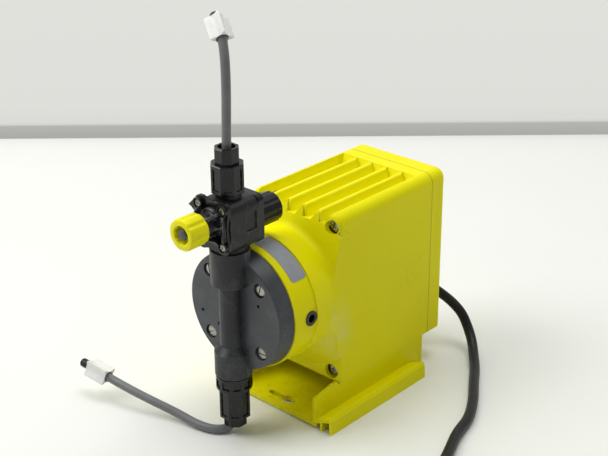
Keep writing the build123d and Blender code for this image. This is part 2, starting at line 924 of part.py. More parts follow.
# --------------------------------------------------------------------------
# Suction connection: collar, seal, tube nut and ferrule
# --------------------------------------------------------------------------
collar_top_z = lower_socket_bottom_z - collar_groove
collar_bottom_z = collar_top_z - collar_height
spigot_bottom_z = collar_bottom_z - spigot_length
tube_bore_radius = tube_radius + tube_clearance

with BuildPart() as suction_collar:
    bar_along_z(collar_bottom_z, collar_top_z, collar_radius)
    with Locations((0, column_y, (collar_bottom_z + collar_top_z) / 2)):
        with PolarLocations(collar_radius, collar_window_count):
            Box(
                2 * collar_window_depth,
                collar_window_width,
                collar_window_height,
                mode=Mode.SUBTRACT,
            )
    bar_along_z(collar_top_z, collar_top_z + spigot_rise, cartridge_radius)
    bar_along_z(spigot_bottom_z, collar_bottom_z, spigot_radius)
    bar_along_z(spigot_bottom_z, collar_top_z + spigot_rise, cage_vent_radius, mode=Mode.SUBTRACT)
    bar_along_z(
        spigot_bottom_z,
        spigot_bottom_z + tube_socket_depth,
        tube_bore_radius,
        mode=Mode.SUBTRACT,
    )
save(suction_collar, "suction_collar")

with BuildPart() as suction_seal:
    bar_along_z(collar_top_z, lower_socket_bottom_z, collar_radius - 0.8)
    bar_along_z(
        collar_top_z,
        lower_socket_bottom_z,
        cartridge_radius + 0.1,
        mode=Mode.SUBTRACT,
    )
save(suction_seal, "suction_seal")

with BuildPart() as suction_ferrule:
    with BuildSketch(Plane.XY.offset(spigot_bottom_z - ferrule_length)):
        with Locations((0, column_y)):
            Circle(ferrule_tip_radius)
    with BuildSketch(Plane.XY.offset(spigot_bottom_z)):
        with Locations((0, column_y)):
            Circle(ferrule_outer_radius)
    loft()
    bar_along_z(
        spigot_bottom_z - ferrule_length,
        spigot_bottom_z,
        tube_bore_radius,
        mode=Mode.SUBTRACT,
    )
save(suction_ferrule, "suction_ferrule")


def eight_sided(z_start, z_end, radius, bevel):
    """Upright eight-sided band with bevelled rims, made in the current part."""
    with BuildPart(mode=Mode.PRIVATE) as band:
        with BuildSketch(Plane.XY.offset(z_start)):
            with Locations((0, column_y)):
                RegularPolygon(radius, nut_sides, rotation=180 / nut_sides)
        extrude(amount=z_end - z_start)
        chamfer(band.edges().filter_by(GeomType.LINE).filter_by(Axis.Z, reverse=True), bevel)
    add(band.part)


with BuildPart() as suction_nut:
    eight_sided(nut_step_z, collar_bottom_z, nut_radius, 0.6)
    eight_sided(nut_end_z, nut_step_z + 1, nut_end_radius, 0.6)
    ferrule_z = spigot_bottom_z - ferrule_length
    bar_along_z(nut_end_z, spigot_bottom_z, tube_bore_radius, mode=Mode.SUBTRACT)
    bar_along_z(nut_end_z, nut_end_z + nut_mouth_length, nut_mouth_radius, mode=Mode.SUBTRACT)
    bar_along_z(
        ferrule_z,
        collar_bottom_z,
        ferrule_outer_radius + tube_clearance,
        mode=Mode.SUBTRACT,
    )
    bar_along_z(
        spigot_bottom_z,
        collar_bottom_z,
        spigot_radius + tube_clearance,
        mode=Mode.SUBTRACT,
    )
    with Locations((0, column_y, (nut_step_z + collar_bottom_z) / 2)):
        with PolarLocations(nut_radius * cos(pi / nut_sides), nut_sides):
            Box(
                2 * nut_panel_depth,
                nut_panel_width,
                collar_bottom_z - nut_step_z - 5,
                mode=Mode.SUBTRACT,
            )
save(suction_nut, "suction_nut")

# --------------------------------------------------------------------------
# Four-function valve: block, two plates, two spring-loaded stems and knobs
# --------------------------------------------------------------------------
block_front_y = column_y - valve_front_lead
block_rear_y = column_y + valve_rear_lead
front_plate_y = block_front_y - valve_plate_thickness
rear_plate_y = block_rear_y + valve_plate_thickness
block_height = valve_top_z - valve_bottom_z

with BuildPart() as valve_body:
    with BuildSketch(front_plane(block_front_y)):
        with Locations((0, valve_bottom_z)):
            Rectangle(2 * valve_half_width, block_height, align=(Align.CENTER, Align.MIN))
        fillet(vertices(), radius=valve_shoulder_radius)
    extrude(amount=-(block_rear_y - block_front_y))
    bar_along_z(upper_socket_top_z, valve_bottom_z + 8, valve_spigot_radius)
    bar_along_z(valve_spigot_z, upper_socket_top_z + 1, cartridge_radius)
    bar_along_z(valve_top_z - 8, valve_top_z + top_ring_height, top_ring_radius)
    bar_along_z(
        valve_top_z,
        valve_top_z + top_ring_height + coupling_height - coupling_rim,
        discharge_spigot_radius,
    )
    # Hollow in each flank beside the rear plate
    with Locations(
        (-valve_half_width, block_rear_y - 7, relief_z - 2),
        (valve_half_width, block_rear_y - 7, relief_z - 2),
    ):
        Box(2, 10, 13, mode=Mode.SUBTRACT)
    # Flow passages
    bar_along_z(
        valve_spigot_z,
        valve_top_z + top_ring_height + coupling_height,
        cage_vent_radius,
        mode=Mode.SUBTRACT,
    )
    bar_along_z(
        valve_top_z + top_ring_height + coupling_height - coupling_rim - tube_socket_depth,
        valve_top_z + top_ring_height + coupling_height,
        tube_bore_radius,
        mode=Mode.SUBTRACT,
    )
    for face, inward, z in ((block_front_y, 1, relief_z), (block_rear_y, -1, prime_z)):
        disc_floor = face + inward * valve_disc_thickness
        pocket_floor = disc_floor + inward * valve_pocket_depth
        bar_along_y(face, disc_floor, valve_disc_radius + tube_clearance, z=z, mode=Mode.SUBTRACT)
        bar_along_y(disc_floor, pocket_floor, valve_pocket_radius, z=z, mode=Mode.SUBTRACT)
        bar_along_y(pocket_floor, column_y, valve_drill_radius, z=z, mode=Mode.SUBTRACT)
    for x in (-plate_screw_x, plate_screw_x):
        for z in (plate_screw_low_z, plate_screw_high_z):
            depth = plate_screw_length - plate_screw_bore_depth
            bar_along_y(
                block_front_y,
                block_front_y + depth,
                plate_screw_radius + tube_clearance,
                x,
                z,
                Mode.SUBTRACT,
            )
        for z in (plate_screw_low_z, plate_screw_high_z - plate_screw_drop):
            bar_along_y(
                block_rear_y - depth,
                block_rear_y,
                plate_screw_radius + tube_clearance,
                x,
                z,
                Mode.SUBTRACT,
            )
save(valve_body, "valve_body")


def bonnet(face_y_, outward, length, z):
    """Spring tube standing on a valve plate; outward is -1 to the front, 1 to the rear."""
    end_y = face_y_ + outward * length
    bar_along_y(face_y_, end_y, bonnet_radius, z=z)


def bonnet_bore(plate_inner_y, outward, face_y_, length, z):
    """Bore for the spring and the guide hole for the stem in its end."""
    end_y = face_y_ + outward * length
    floor_y = end_y - outward * bonnet_end_thickness
    bar_along_y(plate_inner_y, floor_y, bonnet_bore_radius, z=z, mode=Mode.SUBTRACT)
    bar_along_y(plate_inner_y, end_y, stem_radius + running_fit, z=z, mode=Mode.SUBTRACT)


with BuildPart() as valve_front_plate:
    plate_height = front_plate_top_z - front_plate_bottom_z
    plate_mid_z = (front_plate_top_z + front_plate_bottom_z) / 2
    web_y = block_front_y - plate_web_thickness
    with BuildSketch(front_plane(block_front_y)):
        with Locations((0, front_plate_bottom_z)):
            Rectangle(2 * valve_half_width, plate_height, align=(Align.CENTER, Align.MIN))
        fillet(vertices(), radius=plate_corner_radius)
        with BuildLine():
            Polyline((-13, 181.5), (-21, 177.2), (-17.8, 172.6), (-13, 170), close=True)
        make_face()
        with Locations((-valve_half_width - 38.8, plate_mid_z), (valve_half_width + 38.8, plate_mid_z)):
            Circle(40, mode=Mode.SUBTRACT)
        with Locations((0, front_plate_top_z + 18.2), (0, front_plate_bottom_z - 18.2)):
            Circle(20, mode=Mode.SUBTRACT)
    extrude(amount=plate_web_thickness)
    # Raised screw bosses and the ribs that join them to the bonnet
    with BuildSketch(front_plane(web_y)):
        for x in (-plate_screw_x, plate_screw_x):
            for z in (plate_screw_low_z, plate_screw_high_z):
                with Locations((x, z)):
                    Circle(4.1)
                with BuildLine():
                    Line((x * 0.9, z), (x * 0.25, relief_z))
                trace(line_width=2.4)
    extrude(amount=valve_plate_thickness - plate_web_thickness)
    bar_along_y(web_y, front_plate_y, bonnet_radius + 2.2, z=relief_z)
    bonnet(block_front_y, -1, relief_bonnet_length, relief_z)
    bonnet_bore(block_front_y, -1, block_front_y, relief_bonnet_length, relief_z)
    for x in (-plate_screw_x, plate_screw_x):
        for z in (plate_screw_low_z, plate_screw_high_z):
            bar_along_y(
                front_plate_y,
                front_plate_y + plate_screw_bore_depth,
                plate_screw_bore_radius,
                x,
                z,
                Mode.SUBTRACT,
            )
            bar_along_y(
                front_plate_y,
                block_front_y,
                plate_screw_radius + tube_clearance,
                x,
                z,
                Mode.SUBTRACT,
            )
save(valve_front_plate, "valve_front_plate")

with BuildPart() as valve_rear_plate:
    with BuildSketch(front_plane(block_rear_y)):
        with Locations((0, rear_plate_bottom_z)):
            Rectangle(
                2 * valve_half_width,
                rear_plate_top_z - rear_plate_bottom_z,
                align=(Align.CENTER, Align.MIN),
            )
        fillet(vertices(), radius=plate_corner_radius)
    extrude(amount=-valve_plate_thickness)
    bonnet(block_rear_y, 1, prime_bonnet_length, prime_z)
    bonnet_bore(block_rear_y, 1, block_rear_y, prime_bonnet_length, prime_z)
    for x in (-plate_screw_x, plate_screw_x):
        for z in (plate_screw_low_z, plate_screw_high_z - plate_screw_drop):
            bar_along_y(
                rear_plate_y - plate_screw_bore_depth,
                rear_plate_y,
                plate_screw_bore_radius,
                x,
                z,
                Mode.SUBTRACT,
            )
            bar_along_y(
                block_rear_y,
                rear_plate_y,
                plate_screw_radius + tube_clearance,
                x,
                z,
                Mode.SUBTRACT,
            )
save(valve_rear_plate, "valve_rear_plate")


def plate_screws(name, outer_y, inward, heights):
    """Four pan-head screws sunk in a valve plate."""
    with BuildPart() as screws:
        head_y = outer_y + inward * plate_screw_bore_depth
        for x in (-plate_screw_x, plate_screw_x):
            for z in heights:
                bar_along_y(
                    head_y - inward * plate_screw_head_height,
                    head_y,
                    plate_screw_head_radius,
                    x,
                    z,
                )
                bar_along_y(
                    head_y,
                    head_y + inward * plate_screw_length,
                    plate_screw_radius,
                    x,
                    z,
                )
    save(screws, name)


plate_screws(
    "front_plate_screws",
    front_plate_y,
    1,
    (plate_screw_low_z, plate_screw_high_z),
)
plate_screws(
    "rear_plate_screws",
    rear_plate_y,
    -1,
    (plate_screw_low_z, plate_screw_high_z - plate_screw_drop),
)


def valve_trim(prefix, face, outward, z, bonnet_length, knob_radius, knob_length, knob_gap):
    """Seal disc, stem, spring and knob of one side of the valve."""
    with BuildPart() as disc:
        bar_along_y(face - outward * valve_disc_thickness, face, valve_disc_radius, z=z)
    save(disc, f"{prefix}_diaphragm")

    bonnet_end = face + outward * bonnet_length
    knob_start = face + outward * (valve_plate_thickness + knob_gap)
    knob_end = knob_start + outward * knob_length
    web_start = bonnet_end + outward * loose_fit
    web_end = web_start + outward * knob_web
    with BuildPart() as stem:
        flange_end = face + outward * stem_flange_thickness
        bar_along_y(face, flange_end, stem_flange_radius, z=z)
        bar_along_y(face, knob_end - outward * 1.5, stem_radius, z=z)
        bar_along_y(web_end, knob_end - outward * 1.5, stem_tip_radius, z=z)
    save(stem, f"{prefix}_stem")

    ends = sorted((flange_end, bonnet_end - outward * bonnet_end_thickness))
    turns = (ends[1] - ends[0]) / (2.2 * valve_spring_wire)
    wound_spring(
        f"{prefix}_spring",
        ends[0],
        ends[1],
        valve_spring_radius,
        valve_spring_wire,
        turns,
        z,
    )

    with BuildPart() as knob:
        fluted_bar(
            knob_start,
            knob_end,
            z,
            knob_radius,
            knob_flutes,
            knob_flute_radius,
            knob_flute_depth,
            0.6,
        )
        cavity_radius = bonnet_radius + knob_cavity_clearance
        bar_along_y(knob_start, web_start, cavity_radius, z=z, mode=Mode.SUBTRACT)
        bar_along_y(web_start, web_end, stem_radius + running_fit, z=z, mode=Mode.SUBTRACT)
        bar_along_y(web_end, knob_end, knob_recess_radius, z=z, mode=Mode.SUBTRACT)
    save(knob, f"{prefix}_knob")


valve_trim(
    "relief",
    block_front_y,
    -1,
    relief_z,
    relief_bonnet_length,
    relief_knob_radius,
    relief_knob_length,
    relief_knob_gap,
)
valve_trim(
    "prime",
    block_rear_y,
    1,
    prime_z,
    prime_bonnet_length,
    prime_knob_radius,
    prime_knob_length,
    prime_knob_gap,
)

# --------------------------------------------------------------------------
# Discharge connection above the valve
# --------------------------------------------------------------------------
coupling_bottom_z = valve_top_z + top_ring_height
coupling_top_z = coupling_bottom_z + coupling_height
spigot_top_z = coupling_top_z - coupling_rim
top_nut_z = coupling_top_z + top_nut_height
top_ferrule_z = spigot_top_z + ferrule_length

with BuildPart() as discharge_nut:
    eight_sided(coupling_bottom_z, coupling_top_z, coupling_radius, 0.6)
    eight_sided(coupling_top_z - 1, top_nut_z, top_nut_radius, 0.6)
    bar_along_z(
        coupling_bottom_z,
        spigot_top_z,
        discharge_spigot_radius + tube_clearance,
        mode=Mode.SUBTRACT,
    )
    bar_along_z(
        spigot_top_z,
        top_ferrule_z,
        ferrule_outer_radius + tube_clearance,
        mode=Mode.SUBTRACT,
    )
    bar_along_z(spigot_top_z, top_nut_z, tube_bore_radius, mode=Mode.SUBTRACT)
    bar_along_z(top_nut_z - 5, top_nut_z, 6.0, mode=Mode.SUBTRACT)
    with Locations((0, column_y, (coupling_bottom_z + coupling_top_z) / 2)):
        with PolarLocations(coupling_radius * cos(pi / nut_sides), nut_sides):
            Box(2 * nut_panel_depth, nut_panel_width, coupling_height - 5, mode=Mode.SUBTRACT)
save(discharge_nut, "discharge_nut")

with BuildPart() as discharge_ferrule:
    with BuildSketch(Plane.XY.offset(spigot_top_z)):
        with Locations((0, column_y)):
            Circle(ferrule_outer_radius)
    with BuildSketch(Plane.XY.offset(top_ferrule_z)):
        with Locations((0, column_y)):
            Circle(ferrule_tip_radius)
    loft()
    bar_along_z(spigot_top_z, top_ferrule_z, tube_bore_radius, mode=Mode.SUBTRACT)
save(discharge_ferrule, "discharge_ferrule")

# --------------------------------------------------------------------------
# Tubes, their end fittings, and the mains cord
# --------------------------------------------------------------------------


def flexible_run(name, points, radius):
    """Tube of round section along straight runs joined by tangent arcs."""
    bends = []
    for before, corner, after in zip(points, points[1:], points[2:]):
        back = Vector(*before) - Vector(*corner)
        ahead = Vector(*after) - Vector(*corner)
        turn = 180 - back.get_angle(ahead)
        shorter = min(back.length, ahead.length)
        bends.append(0.45 * shorter / tan(radians(turn) / 2))
    print(name, "bend radii", [round(bend, 1) for bend in bends])
    with BuildPart() as run:
        with BuildLine():
            path = FilletPolyline(*points, radius=bends)
        with BuildSketch(Plane(origin=path @ 0, z_dir=path % 0)):
            Circle(radius)
        sweep(path=path)
    expected = pi * radius**2 * path.length
    print(name, "length", round(path.length, 1), "volume share", round(run.part.volume / expected, 4))
    save(run, name)


def end_fitting(prefix, route):
    """Square union nut on the last run of a tube, and the plug that closes it."""
    tube_end = Vector(*route[-1])
    axis = (tube_end - Vector(*route[-2])).normalized()
    base_point = tube_end - axis * fitting_bore_depth
    with BuildPart() as fitting:
        with BuildSketch(Plane(origin=base_point, x_dir=(0.7, -0.7, 0.1), z_dir=axis)):
            Rectangle(fitting_side, fitting_side)
            fillet(vertices(), radius=1.0)
            reach = fitting_side / 2 + fitting_groove_radius - fitting_groove_depth
            with PolarLocations(reach, 4):
                Circle(fitting_groove_radius, mode=Mode.SUBTRACT)
        extrude(amount=fitting_length)
        with BuildSketch(Plane(origin=base_point, z_dir=axis)):
            Circle(tube_bore_radius)
        extrude(amount=fitting_bore_depth, mode=Mode.SUBTRACT)
        plug_seat = base_point + axis * (fitting_length - end_plug_inside)
        with BuildSketch(Plane(origin=plug_seat, z_dir=axis)):
            Circle(end_plug_radius + tube_clearance)
        extrude(amount=end_plug_inside, mode=Mode.SUBTRACT)
    save(fitting, f"{prefix}_fitting")
    with BuildPart() as plug:
        with BuildSketch(Plane(origin=plug_seat, z_dir=axis)):
            Circle(end_plug_radius)
        extrude(amount=end_plug_inside + end_plug_outside)
        chamfer(plug.faces().sort_by(Axis(plug_seat, axis))[-1].edges(), length=0.8)
    save(plug, f"{prefix}_plug")


suction_route = [
    (0, column_y, spigot_bottom_z + tube_socket_depth),
    (0, column_y, 3.5),
    (-6.4, column_y - 13.1, 3.5),
    (-22.0, column_y - 17.3, 3.6),
    (-41.0, column_y - 20.0, 7.0),
    (-64.0, column_y - 26.5, 12.0),
    (-86.0, column_y - 31.5, 16.5),
    (-103.5, column_y - 33.8, 19.7),
]
discharge_route = [
    (0, column_y, spigot_top_z - tube_socket_depth),
    (0, column_y, top_nut_z + 2.0),
    (1.2, column_y + 0.9, top_nut_z + 20.0),
    (1.7, column_y + 1.5, top_nut_z + 38.0),
    (1.3, column_y + 1.1, top_nut_z + 54.0),
    (-0.1, column_y - 0.1, top_nut_z + 66.0),
]

flexible_run("suction_tube", suction_route, tube_radius)
flexible_run("discharge_tube", discharge_route, tube_radius)
end_fitting("suction", suction_route)
end_fitting("discharge", discharge_route)

cord_route = [
    (11.2, 110.5, 59.1),
    (26.9, 127.6, 41.9),
    (45.5, 130.8, 30.2),
    (54.5, 129.0, 18.2),
    (63.0, 123.4, 10.6),
    (71.6, 113.5, 5.9),
    (82.0, 101.0, 4.0),
    (94.7, 81.5, 4.0),
    (108.1, 62.4, 4.0),
    (120.0, 40.4, 4.0),
    (124.5, 19.7, 4.0),
    (131.9, 2.4, 4.0),
    (140.5, -15.9, 4.0),
    (146.8, -36.5, 4.0),
    (149.4, -57.0, 4.0),
]
coil_center = (190.0, -77.0)
tail_start_x = 204.0
tail_end_x = 244.0
tail_y = coil_center[1] - coil_mean_radius
tail_z = coil_height / 2

relief_axis = (Vector(*cord_route[1]) - Vector(*cord_route[0])).normalized()
relief_start = Vector(*cord_route[0]) - relief_axis * relief_setback
with BuildPart() as cord_gland:
    with BuildSketch(Plane(origin=relief_start, z_dir=relief_axis)):
        Circle(relief_base_radius)
    with BuildSketch(Plane(origin=relief_start + relief_axis * relief_length, z_dir=relief_axis)):
        Circle(relief_tip_radius)
    loft()
    with BuildSketch(front_plane(panel_y, gland_x, gland_z)):
        Circle(2 * gland_flange_radius)
    extrude(amount=relief_length, mode=Mode.SUBTRACT)
    bar_along_y(panel_y, panel_y + gland_flange_thickness, gland_flange_radius, gland_x, gland_z)
    bar_along_y(panel_y - housing_wall, panel_y, gland_body_radius, gland_x, gland_z)
    with BuildSketch(Plane(origin=cord_route[0], z_dir=relief_axis)):
        Circle(cord_radius + tube_clearance)
    extrude(amount=relief_length, mode=Mode.SUBTRACT)
save(cord_gland, "cord_gland")

flexible_run("power_cord", cord_route, cord_radius)

with BuildPart() as cord_coil:
    with BuildSketch(Plane.XZ):
        with Locations((coil_center[0] + coil_mean_radius, coil_height / 2)):
            Rectangle(coil_width, coil_height)
        fillet(vertices(), radius=cord_radius)
    revolve(axis=Axis((coil_center[0], 0, 0), (0, 0, 1)))
cord_coil.part.position = (0, coil_center[1], 0)
save(cord_coil, "cord_coil")

with BuildPart() as cord_tail:
    with BuildSketch(Plane.YZ.offset(tail_start_x)):
        with Locations((tail_y, tail_z)):
            Circle(cord_radius)
    extrude(amount=tail_end_x - tail_start_x)
save(cord_tail, "cord_tail")

plug_half_width = 12.5
plug_half_height = 11.0
plug_length = 34.0
plug_neck_radius = 6.0
plug_neck_length = 12.0
blade_spacing = 12.7
blade_width = 6.3
blade_thickness = 1.5
blade_length = 17.5
earth_pin_radius = 2.4
earth_pin_length = 20.0
earth_pin_drop = 6.0

with BuildPart() as mains_plug:
    with BuildSketch(Plane.YZ.offset(tail_end_x)):
        with Locations((tail_y, tail_z)):
            Circle(plug_neck_radius)
    extrude(amount=plug_neck_length)
    plug_x = tail_end_x + plug_neck_length
    with BuildSketch(Plane.YZ.offset(plug_x)):
        with Locations((tail_y, tail_z)):
            Rectangle(2 * plug_half_width * 0.7, 2 * plug_half_height * 0.7)
        fillet(vertices(), radius=4.0)
    with BuildSketch(Plane.YZ.offset(plug_x + plug_length * 0.4)):
        with Locations((tail_y, tail_z)):
            Rectangle(2 * plug_half_width, 2 * plug_half_height)
        fillet(vertices(), radius=4.0)
    loft()
    extrude(mains_plug.faces().sort_by(Axis.X)[-1], amount=plug_length * 0.6)
    face_x = plug_x + plug_length
    with BuildSketch(Plane.YZ.offset(face_x)):
        with Locations(
            (tail_y - blade_spacing / 2, tail_z + 2.5),
            (tail_y + blade_spacing / 2, tail_z + 2.5),
        ):
            Rectangle(blade_thickness, blade_width)
    extrude(amount=blade_length)
    with BuildSketch(Plane.YZ.offset(face_x)):
        with Locations((tail_y, tail_z - earth_pin_drop)):
            Circle(earth_pin_radius)
    extrude(amount=earth_pin_length)
save(mains_plug, "mains_plug")
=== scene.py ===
"""Looks for the diaphragm metering pump, in metres, in the frame of its solids."""
import json
import math

import bmesh
import bpy
from mathutils import Matrix, Vector


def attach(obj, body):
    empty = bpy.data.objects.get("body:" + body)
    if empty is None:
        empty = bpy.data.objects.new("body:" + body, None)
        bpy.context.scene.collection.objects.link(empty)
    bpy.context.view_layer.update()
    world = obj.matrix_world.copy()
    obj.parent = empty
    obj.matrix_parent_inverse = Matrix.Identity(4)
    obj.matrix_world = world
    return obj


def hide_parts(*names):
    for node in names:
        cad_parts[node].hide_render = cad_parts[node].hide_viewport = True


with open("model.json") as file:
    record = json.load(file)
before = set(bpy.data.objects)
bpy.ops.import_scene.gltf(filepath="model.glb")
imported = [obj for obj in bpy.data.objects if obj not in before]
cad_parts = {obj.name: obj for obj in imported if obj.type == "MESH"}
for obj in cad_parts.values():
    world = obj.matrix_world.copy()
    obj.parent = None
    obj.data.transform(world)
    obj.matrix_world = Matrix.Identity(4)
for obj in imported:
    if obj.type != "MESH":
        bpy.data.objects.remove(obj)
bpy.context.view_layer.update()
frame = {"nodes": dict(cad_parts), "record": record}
NODES = frame["nodes"]
MM = 0.001
FRONT = (0, -1, 0)
REAR = (0, 1, 0)

# Places of the solids that the pieces stand on, in millimetres
DRIVE_Z = 95.9
COLUMN_Y = -79.2
VALVE_Z = 170.0
VALVE_PLATE_Y = -92.4
PLATE_SCREW_X = 11.2
FRONT_SCREWS_Z = (155.4, 181.5)
REAR_SCREWS_Z = (155.4, 178.5)
HEAD_FRONT_Y = -76.8
HOUSING_SEAM_Y = 90.4
PANEL_Y = 107.4
TUBE_RADIUS = 3.175
LEAD_RADIUS = 3.95

# --------------------------------------------------------------------------
# Camera
# --------------------------------------------------------------------------
LENS = 77.38
CAMERA_AT = (0.5773, -0.6340, 0.5259)
camera_data = bpy.data.cameras.new("camera")
camera_data.sensor_width = 36.0
camera_data.lens = LENS
camera_data.clip_start = 0.01
camera_data.clip_end = 50.0
camera = bpy.data.objects.new("camera", camera_data)
bpy.context.scene.collection.objects.link(camera)
bpy.context.scene.camera = camera
azimuth, elevation, roll = math.radians(42.5355), math.radians(24.5868), math.radians(-0.4122)
back = Vector((
    math.sin(azimuth) * math.cos(elevation),
    -math.cos(azimuth) * math.cos(elevation),
    math.sin(elevation),
))
level_right = (-back).cross(Vector((0, 0, 1))).normalized()
level_up = level_right.cross(-back)
cam_right = level_right * math.cos(roll) + level_up * math.sin(roll)
cam_up = level_up * math.cos(roll) - level_right * math.sin(roll)
camera.matrix_world = Matrix((
    (cam_right.x, cam_up.x, back.x, CAMERA_AT[0]),
    (cam_right.y, cam_up.y, back.y, CAMERA_AT[1]),
    (cam_right.z, cam_up.z, back.z, CAMERA_AT[2]),
    (0, 0, 0, 1),
))


# --------------------------------------------------------------------------
# Materials
# --------------------------------------------------------------------------
class Paint:
    """Builds one node material: a Principled shader with its colour, roughness and bump."""

    def __init__(self, name, roughness=0.5, metallic=0.0, gloss=0.3):
        self.mat = bpy.data.materials.new(name)
        self.mat.use_nodes = True
        self.tree = self.mat.node_tree
        self.shader = self.tree.nodes["Principled BSDF"]
        self.shader.inputs["Roughness"].default_value = roughness
        self.shader.inputs["Metallic"].default_value = metallic
        self.shader.inputs["IOR"].default_value = 1.5
        self.shader.inputs["Specular IOR Level"].default_value = gloss
        self.coords = self.tree.nodes.new("ShaderNodeTexCoord").outputs["Object"]
        self.height = None

    def node(self, kind, **props):
        made = self.tree.nodes.new(kind)
        for key, value in props.items():
            setattr(made, key, value)
        return made

    def link(self, source, target):
        self.tree.links.new(source, target)

    def stretched(self, scale):
        """Object coordinates scaled differently along each axis."""
        mapping = self.node("ShaderNodeMapping")
        mapping.inputs["Scale"].default_value = scale
        self.link(self.coords, mapping.inputs["Vector"])
        return mapping.outputs["Vector"]

    def noise(self, scale, detail=3.0, vector=None, rough=0.55):
        made = self.node("ShaderNodeTexNoise")
        made.inputs["Scale"].default_value = scale
        made.inputs["Detail"].default_value = detail
        made.inputs["Roughness"].default_value = rough
        self.link(vector or self.coords, made.inputs["Vector"])
        return made.outputs["Fac"]

    def cells(self, scale):
        made = self.node("ShaderNodeTexVoronoi", feature="F1")
        made.inputs["Scale"].default_value = scale
        self.link(self.coords, made.inputs["Vector"])
        return made.outputs["Distance"]

    def ramp(self, source, low, high, flip=False):
        """0 below low and 1 above high, or the other way round."""
        made = self.node("ShaderNodeMapRange")
        made.inputs["From Min"].default_value = low
        made.inputs["From Max"].default_value = high
        made.inputs["To Min"].default_value = 1.0 if flip else 0.0
        made.inputs["To Max"].default_value = 0.0 if flip else 1.0
        self.link(source, made.inputs["Value"])
        return made.outputs["Result"]

    def math(self, operation, first, second):
        made = self.node("ShaderNodeMath", operation=operation)
        for value, socket in ((first, made.inputs[0]), (second, made.inputs[1])):
            if isinstance(value, (int, float)):
                socket.default_value = value
            else:
                self.link(value, socket)
        return made.outputs[0]

    def near(self, place, radius, soft):
        """1 within radius of a place, falling to 0 over the soft distance."""
        away = self.node("ShaderNodeVectorMath", operation="DISTANCE")
        self.link(self.coords, away.inputs[0])
        away.inputs[1].default_value = place
        return self.ramp(away.outputs["Value"], radius, radius + soft, flip=True)

    def edges(self, radius, low=0.002, high=0.05):
        """1 along the edges of the shape, by comparing its normal with a rounded one."""
        rounded = self.node("ShaderNodeBevel", samples=4)
        rounded.inputs["Radius"].default_value = radius
        plain = self.node("ShaderNodeNewGeometry")
        dot = self.node("ShaderNodeVectorMath", operation="DOT_PRODUCT")
        self.link(rounded.outputs["Normal"], dot.inputs[0])
        self.link(plain.outputs["Normal"], dot.inputs[1])
        return self.ramp(self.math("SUBTRACT", 1.0, dot.outputs["Value"]), low, high)

    def colour(self, base, *layers):
        """Base colour with layers of (mask, colour) over it."""
        current = None
        for mask, tint in layers:
            mix = self.node("ShaderNodeMix", data_type="RGBA")
            self.link(mask, mix.inputs["Factor"])
            if current is None:
                mix.inputs["A"].default_value = (*base, 1)
            else:
                self.link(current, mix.inputs["A"])
            mix.inputs["B"].default_value = (*tint, 1)
            current = mix.outputs["Result"]
        self.link(current, self.shader.inputs["Base Color"])

    def roughness(self, source, low, high):
        made = self.node("ShaderNodeMapRange")
        made.inputs["To Min"].default_value = low
        made.inputs["To Max"].default_value = high
        self.link(source, made.inputs["Value"])
        self.link(made.outputs["Result"], self.shader.inputs["Roughness"])

    def bump(self, source, strength, distance):
        made = self.node("ShaderNodeBump")
        made.inputs["Strength"].default_value = strength
        made.inputs["Distance"].default_value = distance
        self.link(source, made.inputs["Height"])
        if self.height is not None:
            self.link(self.height, made.inputs["Normal"])
        self.height = made.outputs["Normal"]
        self.link(self.height, self.shader.inputs["Normal"])


